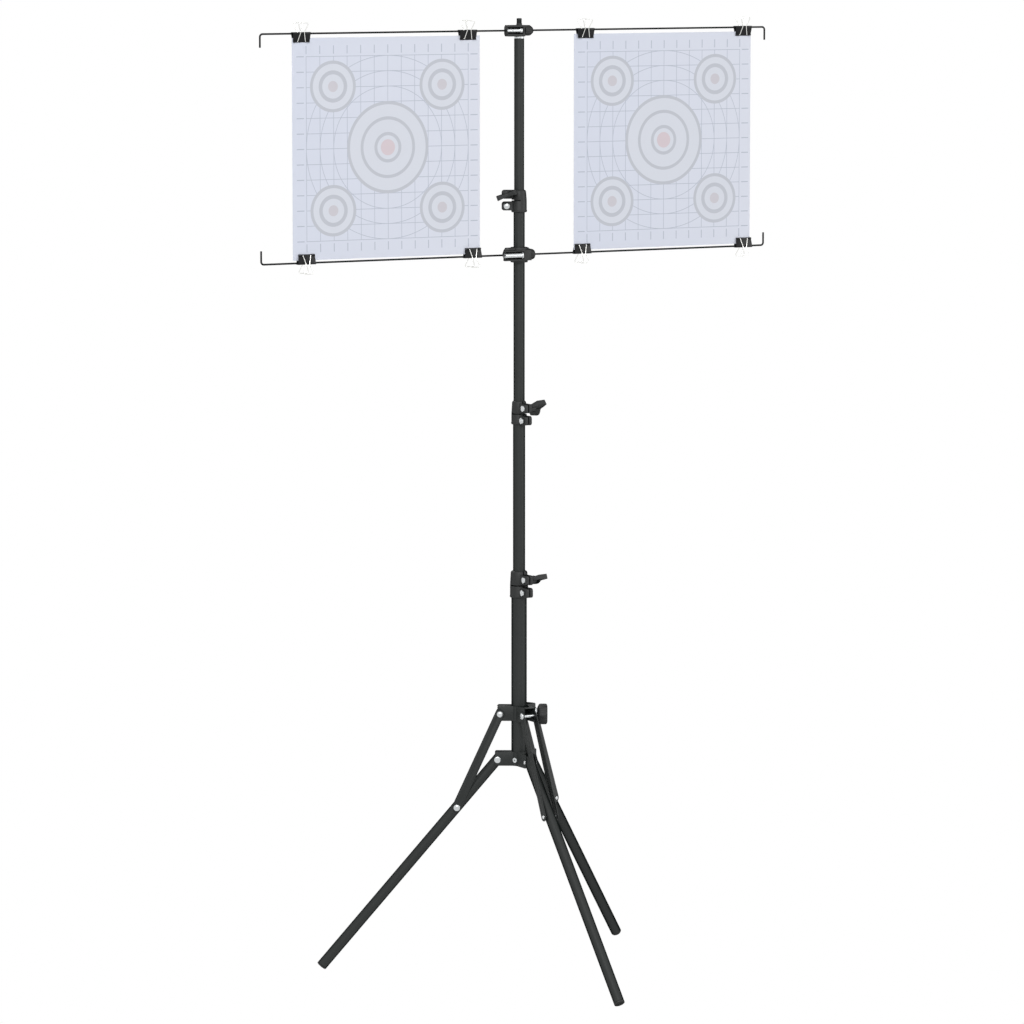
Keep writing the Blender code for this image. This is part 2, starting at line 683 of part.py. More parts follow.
def add_lower_spider(material):
    """Pressed sheets round the column with three open arms, riveted to the tube."""
    low = -LOWER_SPIDER_BELOW_PIVOT
    high = LOWER_SPIDER_ABOVE_PIVOT
    wall = SPIDER_BORE_R + SHEET
    spider = pressed_spider(
        "lower_spider", material, low, high, LOWER_ARM_REACH, ARM_INNER, ARM_OUTER, wall, roof=False
    )
    cut(spider, cylinder(SPIDER_BORE_R, low - MM, high + MM, ROUND))
    for azimuth in ARM_AZIMUTH.values():
        join(spider, turned_about_z(cross_rivet(ARM_OUTER, (LEG_PIVOT_R, 0.0)), azimuth))
    inside = tube_inner(0) - MM
    flange = wall - SHEET / 2
    face = wall + EYELET_HEIGHT
    shank = EYELET_BORE + 2 * TOUCH
    eyelet = [(EYELET_BORE, inside), (shank, inside), (shank, flange), (EYELET_RADIUS, flange),
              (EYELET_RADIUS * 0.85, face), (EYELET_BORE, face)]
    for azimuth in EYELET_AZIMUTH:
        hole = along_x(cylinder(EYELET_BORE + TOUCH, inside - MM, face + MM))
        cut(spider, turned_about_z(shifted(hole, (0, 0, -EYELET_BELOW_LEG_PIVOT)), azimuth))
        rivet = along_x(turned(eyelet, FINE_ROUND))
        join(spider, turned_about_z(shifted(rivet, (0, 0, -EYELET_BELOW_LEG_PIVOT)), azimuth))
    spider.location = (0.0, COLUMN_Y, LEG_PIVOT_Z)
    return spider


def add_upper_spider(material):
    """Sliding spider: three channel arms with a closed top, and the screw's boss."""
    low = -UPPER_SPIDER_BELOW_PIVOT
    high = UPPER_SPIDER_ABOVE_PIVOT
    wall = SPIDER_BORE_R + 1.6 * SHEET
    spider = pressed_spider(
        "upper_spider", material, low, high, UPPER_ARM_REACH, UPPER_ARM_INNER, UPPER_ARM_OUTER, wall, roof=True
    )
    boss = along_x(cylinder(SCREW_RADIUS + 2.6 * MM, SPIDER_BORE_R + SHEET / 2, wall + 2.2 * MM))
    join(spider, turned_about_z(shifted(boss, (0, 0, -SCREW_BELOW_PIVOT)), SCREW_AZIMUTH))
    thread = along_x(cylinder(SCREW_RADIUS + TOUCH, SPIDER_BORE_R - 3 * MM, wall + 4 * MM))
    cut(
        spider,
        cylinder(SPIDER_BORE_R, low - MM, high + MM, ROUND),
        turned_about_z(shifted(thread, (0, 0, -SCREW_BELOW_PIVOT)), SCREW_AZIMUTH),
    )
    straight = (PIVOT_SLOT_HEIGHT - PIVOT_SLOT_WIDTH) / 2
    slot = [*arc((STRUT_PIVOT_R, -straight), PIVOT_SLOT_WIDTH / 2, 180, 360, 4),
            *arc((STRUT_PIVOT_R, straight), PIVOT_SLOT_WIDTH / 2, 0, 180, 4)]
    for azimuth in ARM_AZIMUTH.values():
        cut(spider, turned_about_z(prism(slot, -2 * UPPER_ARM_OUTER, 2 * UPPER_ARM_OUTER, "xz"), azimuth))
    spider.location = (0.0, COLUMN_Y, STRUT_PIVOT_Z)
    return spider


def fluted(levels, lobes, points_per_lobe, bore=0.0):
    """Knob about Z: each level is (radius, height, depth of the grooves)."""
    count = lobes * points_per_lobe
    bm = bmesh.new()
    rings = []
    bore_levels = [(bore, levels[-1][1], 0.0), (bore, levels[0][1], 0.0)] if bore else []
    for radius, height, groove in levels + bore_levels:
        ring = []
        for k in range(count):
            angle = 2 * math.pi * k / count
            reach = radius - groove * (0.5 - 0.5 * math.cos(lobes * angle))
            ring.append(bm.verts.new((reach * math.cos(angle), reach * math.sin(angle), height)))
        rings.append(ring)
    pairs = list(zip(rings, rings[1:]))
    if bore:
        pairs.append((rings[-1], rings[0]))
    else:
        bm.faces.new(rings[0])
        bm.faces.new(rings[-1])
    for first, second in pairs:
        for k in range(count):
            bm.faces.new((first[k - 1], first[k], second[k], second[k - 1]))
    return bm


def add_thumb_screw(material):
    """Screw with a fluted knob that locks the upper spider on the column."""
    start = SCREW_KNOB_START
    end = SCREW_KNOB_END
    groove = SCREW_KNOB_GROOVE
    levels = [
        (SCREW_KNOB_NECK_RADIUS, start, 0.0),
        (SCREW_KNOB_RADIUS - 1.2 * MM, start + 3.0 * MM, groove),
        (SCREW_KNOB_RADIUS, start + 4.6 * MM, groove),
        (SCREW_KNOB_RADIUS, end - 2.6 * MM, groove),
        (SCREW_KNOB_RADIUS - 1.8 * MM, end - 0.8 * MM, groove),
        (SCREW_KNOB_RADIUS - 6.0 * MM, end, 0.0),
    ]
    screw = object_from(fluted(levels, SCREW_KNOB_LOBES, 4), "spider_thumb_screw", material)
    join(screw, cylinder(SCREW_RADIUS, TUBE_OD[0] / 2 + TOUCH, start + MM))
    screw.rotation_euler = (0.0, math.pi / 2, math.radians(SCREW_AZIMUTH))
    screw.location = (0.0, COLUMN_Y, STRUT_PIVOT_Z - SCREW_BELOW_PIVOT)
    return screw


def add_leg(name, azimuth, material):
    """Tubular leg, hung on the lower spider and drilled for its two rivets."""
    outer = LEG_OD / 2
    inner = outer - LEG_WALL
    end = -LEG_LENGTH + PLUG_FLANGE + TOUCH
    leg = object_from(turned([(outer, LEG_TOP), (outer, end), (inner, end), (inner, LEG_TOP)]), name, material)
    for along in (0.0, -STRUT_ALONG_LEG):
        cut(leg, shifted(along_y(cylinder(RIVET_RADIUS + TOUCH, -2 * outer, 2 * outer)), (0, 0, along)))
    arm_frame(leg, azimuth, LEG_PIVOT_R, LEG_PIVOT_Z, LEG_TILT)
    return leg


def add_foot_plug(name, azimuth, material):
    """Plastic plug that closes a leg's lower end, flush with the tube."""
    outer = LEG_OD / 2
    body = outer - LEG_WALL - TOUCH
    flange = -LEG_LENGTH + PLUG_FLANGE
    profile = [
        (0.0, flange + PLUG_BODY),
        (body - MM, flange + PLUG_BODY),
        (body, flange + PLUG_BODY - MM),
        (body, flange),
        (outer, flange),
        (outer, -LEG_LENGTH),
        (0.0, -LEG_LENGTH),
    ]
    plug = object_from(turned(profile), name, material)
    arm_frame(plug, azimuth, LEG_PIVOT_R, LEG_PIVOT_Z, LEG_TILT)
    return plug


def add_strut(name, azimuth, material):
    """Two flat strips on either side of a leg, held by a rivet at each end."""
    half = STRIP_WIDTH / 2
    outline = [*arc((0.0, STRUT_LENGTH), half, 0, 180, 8), *arc((0.0, 0.0), half, 180, 360, 8)]
    strut = object_from(prism(outline, STRIP_INNER, STRIP_OUTER, "xz"), name, material)
    join(
        strut,
        prism(outline, -STRIP_OUTER, -STRIP_INNER, "xz"),
        cross_rivet(STRIP_OUTER, (0.0, 0.0)),
        cross_rivet(STRIP_OUTER, (0.0, STRUT_LENGTH)),
    )
    arm_frame(strut, azimuth, STRUT_FOOT_R, STRUT_FOOT_Z, STRUT_TILT)
    return strut


def rod_path(side, inner, bend):
    """Centre line of a half crossbar: straight, then hooked up or down."""
    reach = ROD_REACH
    arc_points = arc((reach - ROD_BEND, ROD_BEND), ROD_BEND, -90, 0, 5)
    line = [(inner, 0.0), *arc_points, (reach, ROD_HOOK)]
    return [(side * u, 0.0, bend * v) for u, v in line]


def add_rod(name, side, inner, bend, height, material, ferrule=None):
    """Half a crossbar; a ferrule is the span of the plated, flanged sleeve on its inner end."""
    rod = object_from(wire(rod_path(side, inner, bend), ROD_RADIUS, 10, (0, 1, 0)), name, material)
    if ferrule:
        low, high = ferrule
        sleeve = turned([(0.0, low), (FERRULE_RADIUS, low), (FERRULE_RADIUS, high), (FERRULE_FLANGE_RADIUS, high),
                         (FERRULE_FLANGE_RADIUS, high + FERRULE_FLANGE), (0.0, high + FERRULE_FLANGE)], FINE_ROUND)
        join(rod, along_x(sleeve))
    rod.location = (0.0, COLUMN_Y, height)
    return rod


def end_block(left, right, below, above, nose):
    """Side view of a clamp body with a tapering left end."""
    return [
        (-left, -nose * 0.45),
        (-left + nose * 0.5, -below * 0.62),
        (-left + nose * 1.3, -below),
        (right, -below),
        (right, above),
        (-left + nose * 1.3, above),
        (-left + nose * 0.5, above * 0.62),
        (-left, nose * 0.45),
    ]


def add_top_clamp(material):
    """Clamp body on the top tube, open at the front round the left rod's ferrule."""
    below, above = TOP_CLAMP_HALF_HEIGHT
    front = -TOP_CLAMP_FRONT
    rear = TOP_CLAMP_REAR
    left = TOP_CLAMP_LEFT
    side_view = end_block(left, TOP_CLAMP_RIGHT, below, above, 2.6 * MM)
    clamp = object_from(prism(side_view, front, rear, "xz"), "top_rod_clamp", material)
    plan = rounded([(-left, front), (left, front), (left, rear), (-left, rear)], 4.0 * MM)
    boolean(clamp, prism(plan, -2 * below, 2 * above), "INTERSECT")
    half = WINDOW_HEIGHT / 2
    cut(
        clamp,
        box((TOP_WINDOW[0], 2 * front, -half), (TOP_WINDOW[1], rear - 1.8 * MM, half)),
        along_x(cylinder(ROD_RADIUS + TOUCH, -2 * TOP_CLAMP_LEFT, 2 * TOP_CLAMP_RIGHT)),
        cylinder(PLUG_NECK_RADIUS + TOUCH, -2 * below, -half - TOUCH, FINE_ROUND),
    )
    stud_top = STUD_TOP_ABOVE_ROD
    stud = turned(
        [(0.0, above - MM), (STUD_RADIUS[0], above - MM), (STUD_RADIUS[0], above + 2.6 * MM),
         (STUD_RADIUS[1], stud_top - 0.8 * MM), (STUD_RADIUS[1] - 0.8 * MM, stud_top), (0.0, stud_top)],
        FINE_ROUND,
    )
    join(clamp, stud)
    clamp.location = (0.0, COLUMN_Y, TOP_ROD_Z)
    return clamp


def add_end_plug(material):
    """Plug in the top tube, whose neck carries the top clamp."""
    shoulder_top = TOP_ROD_Z - TOP_CLAMP_HALF_HEIGHT[0] - TOUCH
    neck_top = TOP_ROD_Z - WINDOW_HEIGHT / 2 - 2 * TOUCH - MM
    body = tube_inner(3) - TOUCH
    shoulder = COLUMN_TOP_Z + TOUCH
    profile = [
        (0.0, neck_top),
        (PLUG_NECK_RADIUS, neck_top),
        (PLUG_NECK_RADIUS, shoulder_top),
        (TUBE_OD[3] / 2 - MM, shoulder_top),
        (TUBE_OD[3] / 2, shoulder_top - 0.7 * MM),
        (TUBE_OD[3] / 2, shoulder),
        (body, shoulder),
        (body, shoulder - 15 * MM),
        (0.0, shoulder - 15 * MM),
    ]
    plug = object_from(turned(profile), "section_4_end_plug", material)
    plug.location = (0.0, COLUMN_Y, 0.0)
    return plug


def add_lower_clamp(material):
    """Clamp round the third section, with a lug for each rod and a screw along its front."""
    below, above = LOWER_CLAMP_HALF_HEIGHT
    bore = TUBE_OD[2] / 2 + TOUCH
    clamp = object_from(cylinder(LOWER_CLAMP_RADIUS, -below, above, ROUND), "lower_rod_clamp", material)
    side_view = end_block(LOWER_CLAMP_LEFT, LOWER_CLAMP_RIGHT, *LUG_HALF_HEIGHT, 4.0 * MM)
    lug = LOWER_LUG_HALF_DEPTH
    half = FRONT_WINDOW_HEIGHT / 2
    front = FRONT_BOSS_DEPTH
    left, right = FRONT_BOSS
    rear = MM - lug
    slanted = left + FRONT_BOSS_SLANT
    boss = rounded([(left, -front), (right, -front), (right, rear), (slanted, rear)], 2.4 * MM, 3)
    join(clamp, prism(side_view, -lug, lug, "xz"), prism(boss, -BOSS_HALF_HEIGHT, BOSS_HALF_HEIGHT))
    rod_hole = ROD_RADIUS + TOUCH
    cut(
        clamp,
        box((FRONT_WINDOW[0], -2 * front, -half), (FRONT_WINDOW[1], -bore - MM, half)),
        along_x(cylinder(rod_hole, -2 * LOWER_CLAMP_LEFT, -bore + 2 * MM)),
        along_x(cylinder(rod_hole, bore - 2 * MM, 2 * LOWER_CLAMP_LEFT)),
    )
    high = FRONT_SCREW_END
    screw = turned(
        [(0.0, left + MM), (FRONT_SCREW_RADIUS, left + MM), (FRONT_SCREW_RADIUS, high), (FRONT_SCREW_HEAD_RADIUS, high),
         (FRONT_SCREW_HEAD_RADIUS, high + FRONT_SCREW_HEAD), (FRONT_SCREW_TAIL, high + FRONT_SCREW_HEAD),
         (FRONT_SCREW_TAIL, right - MM), (0.0, right - MM)],
        FINE_ROUND,
    )
    join(clamp, shifted(along_x(screw), (0.0, -FRONT_SCREW_Y, 0.0)))
    cut(clamp, cylinder(bore, -2 * below, 2 * above, ROUND))
    clamp.location = (0.0, COLUMN_Y, BOTTOM_ROD_Z)
    return clamp


def add_clamp_knob(name, start, lengths, radii, height, material):
    """Ribbed knob round the right rod's root, tapering from its shoulder to its end."""
    shoulder, length = lengths
    radius, end_radius = radii
    groove = CLAMP_KNOB_RIB_DEPTH
    levels = [
        (radius, start, groove),
        (radius, start + shoulder, groove),
        (end_radius, start + length, 0.0),
    ]
    knob = object_from(fluted(levels, CLAMP_KNOB_RIBS, 3, ROD_RADIUS + TOUCH), name, material)
    knob.rotation_euler = (0.0, math.pi / 2, 0.0)
    knob.location = (0.0, COLUMN_Y, height)
    return knob


def clip_section():
    """Open C-section of a binder clip: (depth from the spine, height across)."""
    spine = CLIP_SPINE_HALF
    sheet = CLIP_SHEET
    outer = [(CLIP_DEPTH, LIP_GAP + sheet), (sheet, spine), (0.0, spine - sheet)]
    inner = [(sheet, spine - 2 * sheet), (2 * sheet, spine - 1.2 * sheet), (CLIP_DEPTH, LIP_GAP)]
    outer_below = [(s, -y) for s, y in reversed(outer)]
    inner_below = [(s, -y) for s, y in reversed(inner)]
    return outer + outer_below + inner_below + inner


def clip_half_width(depth):
    share = depth / CLIP_DEPTH
    return (CLIP_WIDTH * (1 - share) + CLIP_LIP_WIDTH * share) / 2


def clip_shell():
    """The folded sheet: outline across the clip, widened towards the spine."""
    outline = clip_section()
    bm = bmesh.new()
    rings = []
    for side in (-1, 1):
        rings.append([bm.verts.new((side * clip_half_width(s), y, s)) for s, y in outline])
    for i in range(len(outline)):
        bm.faces.new((rings[0][i - 1], rings[0][i], rings[1][i], rings[1][i - 1]))
    bm.faces.new(rings[0])
    bm.faces.new(rings[1])
    return bm


def curl_centre():
    """Pivot of a handle: (depth from the spine, height across)."""
    return CLIP_DEPTH - CURL_RADIUS, LIP_GAP + CURL_RADIUS


def clip_curl(side, across):
    """A rolled stretch of lip, round the end of a handle's wire."""
    depth, height = curl_centre()
    rim = arc((depth, height), CURL_RADIUS, -90, 180, 5)
    bore = arc((depth, height), CURL_BORE_RADIUS, 180, -90, 5)
    outline = [(s, across * y) for s, y in rim + bore]
    low, high = sorted((side * CURL_INNER_X, side * (clip_half_width(CLIP_DEPTH) - TOUCH)))
    bm = prism([(y, s) for s, y in outline], low, high, "yz")
    return bm


def make_clip(material):
    clip = object_from(clip_shell(), "clip", material)
    for side in (-1, 1):
        for across in (-1, 1):
            join(clip, clip_curl(side, across))
    return clip


def handle_path():
    """Centre line of a handle in its own plane: across, and out from the pivot."""
    length = HANDLE_LENGTH
    loop = HANDLE_LOOP_HALF
    neck_at = curl_centre()[0]
    pivot_end = clip_half_width(CLIP_DEPTH) - 2 * TOUCH
    half = [
        (pivot_end, 0.0),
        (HANDLE_LIP_HALF + 1.0 * MM, 0.0),
        (HANDLE_LIP_HALF + 0.2 * MM, 0.9 * MM),
        (HANDLE_NECK_HALF, neck_at),
        (loop, length - 2.8 * MM),
        (loop - 0.9 * MM, length - 0.8 * MM),
        (loop - 2.8 * MM, length),
    ]
    return half + [(-u, v) for u, v in reversed(half)]


def add_clip_set(level, rod_z, toward_paper, places, clip_mesh, handle_mesh):
    """The four clips on one crossbar, each with its front and rear wire handle."""
    depth, height = curl_centre()
    for name, x in zip(CLIP_NAMES, places):
        clip = bpy.data.objects.new(f"clip_{level}_{name}", clip_mesh)
        bpy.context.collection.objects.link(clip)
        clip.location = (x, COLUMN_Y, rod_z - toward_paper * CLIP_PAST_ROD)
        flip = 0.0 if toward_paper > 0 else math.pi
        clip.rotation_euler = (flip, 0.0, 0.0)
        for face, across in (("front", -1), ("rear", 1)):
            handle = bpy.data.objects.new(f"clip_{level}_{name}_{face}_handle", handle_mesh)
            bpy.context.collection.objects.link(handle)
            pivot_z = rod_z + toward_paper * (depth - CLIP_PAST_ROD)
            handle.location = (x, COLUMN_Y + across * height, pivot_z)
            lean = across * math.radians(HANDLE_LEAN)
            handle.rotation_euler = (-lean if toward_paper < 0 else math.pi + lean, 0.0, 0.0)


def add_paper(name, middle, material):
    """A paper sheet; the printed field stands proud of its front by the thickness of the ink."""
    low = BOTTOM_ROD_Z + PAPER_ABOVE_BOTTOM_ROD
    high = TOP_ROD_Z - PAPER_BELOW_TOP_ROD
    half = PAPER_WIDTH / 2
    tall = (high - low) / 2
    edge = PAPER_THICKNESS / 2
    field = PRINTED_FIELD / 2
    sheet = object_from(box((-half, -edge, -tall), (half, edge, tall)), name, material)
    join(sheet, box((-field, -edge - INK_THICKNESS, -field), (field, 0.0, field)))
    sheet.location = (middle, COLUMN_Y, (low + high) / 2)
    return sheet


def build():
    clear_scene()
    steel = make_material("black_painted_steel", (0.045, 0.048, 0.048), 0.45, 0.3)
    plastic = make_material("black_plastic", (0.03, 0.031, 0.032), 0.5, 0.0)
    clip_black = make_material("clip_enamel", (0.02, 0.021, 0.024), 0.35, 0.2)
    chrome = make_material("nickel_wire", (0.62, 0.62, 0.62), 0.25, 1.0)
    paper = make_material("target_paper", (0.64, 0.68, 0.75), 0.8, 0.0)

    for index in range(4):
        add_column_tube(index, steel)
    for index in (1, 2, 3):
        add_guide_bush(index, plastic)
    for index in range(3):
        add_collar(index, plastic)
        add_wing_knob(index, plastic)

    add_lower_spider(steel)
    add_upper_spider(steel)
    add_thumb_screw(plastic)
    for name, azimuth in ARM_AZIMUTH.items():
        add_leg(f"{name}_leg", azimuth, steel)
        add_foot_plug(f"{name}_foot_plug", azimuth, plastic)
        add_strut(f"{name}_strut", azimuth, steel)

    add_top_clamp(plastic)
    add_end_plug(plastic)
    add_lower_clamp(plastic)
    add_clamp_knob("top_clamp_knob", TOP_CLAMP_RIGHT + TOUCH, TOP_KNOB_LENGTH, TOP_KNOB_RADIUS, TOP_ROD_Z, plastic)
    add_clamp_knob(
        "lower_clamp_knob", LOWER_CLAMP_RIGHT + TOUCH, LOWER_KNOB_LENGTH, LOWER_KNOB_RADIUS, BOTTOM_ROD_Z, plastic
    )

    add_rod("top_left_rod", -1, -TOP_FERRULE[1], -1, TOP_ROD_Z, steel, TOP_FERRULE)
    add_rod("top_right_rod", 1, TOP_WINDOW[1] + 2 * TOUCH, -1, TOP_ROD_Z, steel)
    for name, side in (("bottom_left_rod", -1), ("bottom_right_rod", 1)):
        add_rod(name, side, TUBE_OD[2] / 2 + 3 * TOUCH, 1, BOTTOM_ROD_Z, steel)

    clip_model = make_clip(clip_black)
    handle_model = object_from(
        wire([(u, 0.0, v) for u, v in handle_path()], HANDLE_RADIUS, WIRE_SIDES, (0, 1, 0)), "handle", chrome
    )
    for level, rod_z, toward, places in (
        ("top", TOP_ROD_Z, -1, TOP_CLIP_X),
        ("bottom", BOTTOM_ROD_Z, 1, BOTTOM_CLIP_X),
    ):
        add_clip_set(level, rod_z, toward, places, clip_model.data, handle_model.data)
    bpy.data.objects.remove(clip_model, do_unlink=True)
    bpy.data.objects.remove(handle_model, do_unlink=True)

    add_paper("left_target_sheet", PAPER_LEFT_X, paper)
    add_paper("right_target_sheet", PAPER_RIGHT_X, paper)


build()
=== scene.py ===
"""Finished target stand: tripod, telescopic column, crossbars, binder clips and two paper targets."""

import math

import bmesh
import bpy
from mathutils import Matrix, Vector


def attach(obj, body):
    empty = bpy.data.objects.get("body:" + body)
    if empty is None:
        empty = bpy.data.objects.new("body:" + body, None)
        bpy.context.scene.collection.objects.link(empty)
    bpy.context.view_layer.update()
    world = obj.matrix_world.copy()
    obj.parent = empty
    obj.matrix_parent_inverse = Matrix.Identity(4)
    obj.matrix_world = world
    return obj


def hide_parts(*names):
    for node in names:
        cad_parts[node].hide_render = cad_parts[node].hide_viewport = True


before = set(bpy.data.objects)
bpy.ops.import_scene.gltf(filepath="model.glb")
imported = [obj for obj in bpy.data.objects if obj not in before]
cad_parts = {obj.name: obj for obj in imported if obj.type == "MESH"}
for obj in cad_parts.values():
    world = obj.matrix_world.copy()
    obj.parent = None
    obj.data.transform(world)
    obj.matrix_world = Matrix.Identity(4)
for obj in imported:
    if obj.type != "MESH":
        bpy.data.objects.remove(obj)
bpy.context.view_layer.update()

MM = 0.001


def mm(*sizes):
    """Millimetres as metres."""
    return tuple(size * MM for size in sizes)


TOUCH = 0.3 * MM
WELD = 0.002 * MM
# How far a cutting shape stands past the faces that it cuts
PAST = 1.0 * MM
FULL_ROUND = 48
MIDDLE_ROUND = 32
SMALL_ROUND = 24
WIRE_ROUND = 12
# Degrees between faces: from where an edge is rounded, and from where it is shaded as sharp
ROUNDED_FROM = 35.0
SHARP_FROM = 40.0
SHARP_FROM_WHEN_ROUNDED = 50.0
SHARP_FROM_ON_WIRE = 60.0

# Column
TUBE_OD = mm(25.0, 19.6, 18.0, 16.0)
TUBE_WALL = mm(0.8, 0.5, 0.5, 0.5)
TUBE_EASE = 0.2 * MM
BASE_BELOW_LEG_PIVOT = 9.1 * MM
STEP_HEIGHT = mm(284.5, 277.7, 342.8, 257.0)
TUBE_IN_COLLAR = 1.2 * MM
TUBE_OVERLAP = mm(0.0, 57.0, 67.0, 79.0)

# Collars
COLLAR_BELOW_SLOT = mm(19.9, 17.0, 19.2)
COLLAR_ABOVE_SLOT = mm(23.4, 21.1, 16.6)
COLLAR_RADIUS = mm(14.6, 12.4, 12.2)
COLLAR_TAPER = 1.1 * MM
COLLAR_CHAMFER = 2.4 * MM
COLLAR_BEAD = 0.4 * MM
COLLAR_BEAD_LEVELS = mm(3.4, 3.0, 1.2)
COLLAR_FOOT_INSET = 0.6 * MM
COLLAR_EDGE = 0.45 * MM
COLLAR_AZIMUTH = (273.8, 273.8, 150.6)
COLLAR_EAR_REACH = mm(31.5, 28.0, 28.0)
COLLAR_BOLT_REACH = mm(22.0, 20.0, 19.8)
EAR_HALF_WIDTH = 6.2 * MM
EAR_HEIGHT = mm(15.6, 14.6, 13.8)
EAR_GAP = 4.8 * MM
EAR_CORNER = 4.0 * MM
SPLIT_WIDTH = 2.4 * MM
SLOT_HEIGHT = 1.8 * MM
BOLT_RADIUS = 2.5 * MM
BOLT_EASE = 0.4 * MM
BOLT_HEAD_RADIUS = 5.2 * MM
BOLT_HEAD_HEIGHT = 2.2 * MM
BOLT_SEAT_GAP = 0.1 * MM
BOLT_STICKS_OUT = 6.0 * MM
NUT_HEIGHT = 4.0 * MM
NUT_EDGE = 0.35 * MM
WING_HUB_RADIUS = 6.4 * MM
WING_HUB_LENGTH = 10.0 * MM
WING_LENGTH = 24.5 * MM
WING_REACH = 16.6 * MM
WING_THICKNESS = mm(5.0, 8.0)
WING_ROOT = 8.7 * MM
WING_ROUND = 3.4 * MM
WING_NOTCH_DEPTH = 3.4 * MM
WING_EDGE = 0.8 * MM
WING_TURN = (-22.0, -40.0, 20.0)

# Tripod
ARM_AZIMUTH = {"front": 270.0, "right_rear": 30.0, "left_rear": 150.0}
LOWER_SPIDER_SPAN = mm(-9.6, 12.9)
UPPER_SPIDER_SPAN = mm(-10.8, 13.5)
LEG_PIVOT_R = 34.8 * MM
LOWER_ARM_REACH = 40.2 * MM
UPPER_ARM_REACH = 36.3 * MM
ARM_CORNER = 1.6 * MM
SHEET = 0.9 * MM
SPIDER_EDGE = 0.25 * MM
LEG_OD = 17.2 * MM
LEG_WALL = 1.0 * MM
LEG_EASE = 0.25 * MM
LEG_LENGTH = 446.5 * MM
LEG_TOP = 7.0 * MM
LEG_TILT = 40.0
FOOT_PLUG_DEPTH = 12.0 * MM
FOOT_PLUG_EASE = 0.2 * MM
PLUG_FLANGE = 2.4 * MM
STRUT_ALONG_LEG = 102.5 * MM
STRUT_LENGTH = 168.5 * MM
STRUT_PIVOT_R = 30.8 * MM
STRIP_WIDTH = 13.9 * MM
STRIP_THICKNESS = 1.2 * MM
STRIP_EDGE = 0.3 * MM
STRIP_BORE_GAP = 0.05 * MM
RIVET_RADIUS = 2.5 * MM
RIVET_HEAD_RADIUS = 5.3 * MM
RIVET_TAIL_RADIUS = 3.0 * MM
RIVET_HEAD_HEIGHT = 0.8 * MM
RIVET_SEAT_GAP = 0.02 * MM
STRUT_LOWER_HEAD_HEIGHT = 1.3 * MM
STRUT_UPPER_HEAD_HEIGHT = 2.4 * MM
PIVOT_SLOT_HEIGHT = 12.8 * MM
PIVOT_SLOT_WIDTH = 8.5 * MM
EYELET_RADIUS = 4.2 * MM
EYELET_BORE = 1.0 * MM
EYELET_WALL = 0.6 * MM
EYELET_HEIGHT = 1.1 * MM
EYELET_BELOW_LEG_PIVOT = 0.2 * MM
EYELET_AZIMUTH = (90.0, 210.0, 330.0)
SCREW_AZIMUTH = 330.0
SCREW_BELOW_PIVOT = 0.9 * MM
SCREW_RADIUS = 2.9 * MM
SCREW_THREAD_DEPTH = 0.3 * MM
SCREW_BOSS_WALL = 2.6 * MM
SCREW_BOSS_PROUD = 2.2 * MM
SCREW_KNOB_RADIUS = 16.8 * MM
SCREW_KNOB_NECK_RADIUS = 9.5 * MM
SCREW_KNOB_START = 29.0 * MM
SCREW_KNOB_END = 46.0 * MM
SCREW_KNOB_LOBES = 8
SCREW_KNOB_LOBE_POINTS = 10
SCREW_KNOB_GROOVE = 1.6 * MM
THREAD_PITCH = 1.0 * MM

# Low domes of bolt heads and rivets, as shares of their radius and height
BOLT_DOME = ((0.92, 0.6), (0.62, 1.0), (0.0, 1.0))
RIVET_DOME = ((0.96, 0.35), (0.8, 0.75), (0.45, 1.0), (0.0, 1.0))

# Crossbars and their clamps
TOP_ROD_ABOVE_COLUMN = 12.9 * MM
BOTTOM_ROD_BELOW_COLLAR = 87.3 * MM
ROD_RADIUS = 1.525 * MM
ROD_UNDERSIZE = 0.03 * MM
ROD_TIP = 0.3 * MM
ROD_REACH = 460.7 * MM
ROD_HOOK = 21.0 * MM
ROD_BEND = 4.5 * MM
FERRULE_RADIUS = 3.9 * MM
FERRULE_FLANGE_RADIUS = 5.2 * MM
FERRULE_FLANGE = 3.9 * MM
FERRULE_EASE = 0.35 * MM
SLEEVE_GAP = 0.02 * MM
TOP_CLAMP_LEFT = 25.0 * MM
TOP_CLAMP_RIGHT = 8.0 * MM
TOP_CLAMP_HALF_HEIGHT = mm(9.3, 8.6)
TOP_CLAMP_FRONT = 5.6 * MM
TOP_CLAMP_REAR = 7.4 * MM
TOP_CLAMP_NOSE = 2.6 * MM
TOP_CLAMP_CORNER = 4.0 * MM
TOP_CLAMP_EDGE = 0.6 * MM
TOP_WINDOW = mm(-23.6, 4.6)
TOP_WINDOW_BACK = 1.8 * MM
TOP_FERRULE = mm(-23.2, 0.2)
WINDOW_HEIGHT = 11.2 * MM
LOWER_CLAMP_LEFT = 26.4 * MM
LOWER_CLAMP_RIGHT = 14.0 * MM
LOWER_CLAMP_HALF_HEIGHT = mm(11.9, 12.1)
LOWER_CLAMP_RADIUS = 13.6 * MM
LOWER_CLAMP_NOSE = 4.0 * MM
LOWER_CLAMP_EDGE = 0.5 * MM
LOWER_LUG_HALF_DEPTH = 7.6 * MM
LUG_HALF_HEIGHT = mm(8.6, 11.4)
BOSS_HALF_HEIGHT = 8.3 * MM
FRONT_BOSS = mm(-36.0, 13.9)
FRONT_BOSS_SLANT = 3.0 * MM
FRONT_BOSS_DEPTH = 18.0 * MM
FRONT_BOSS_CORNER = 2.4 * MM
FRONT_WINDOW = mm(-34.4, -0.8)
FRONT_WINDOW_HEIGHT = 12.4 * MM
FRONT_SCREW_Y = 15.4 * MM
FRONT_SCREW_END = -4.6 * MM
FRONT_SCREW_RADIUS = 4.0 * MM
FRONT_SCREW_HEAD_RADIUS = 5.7 * MM
FRONT_SCREW_HEAD = 2.0 * MM
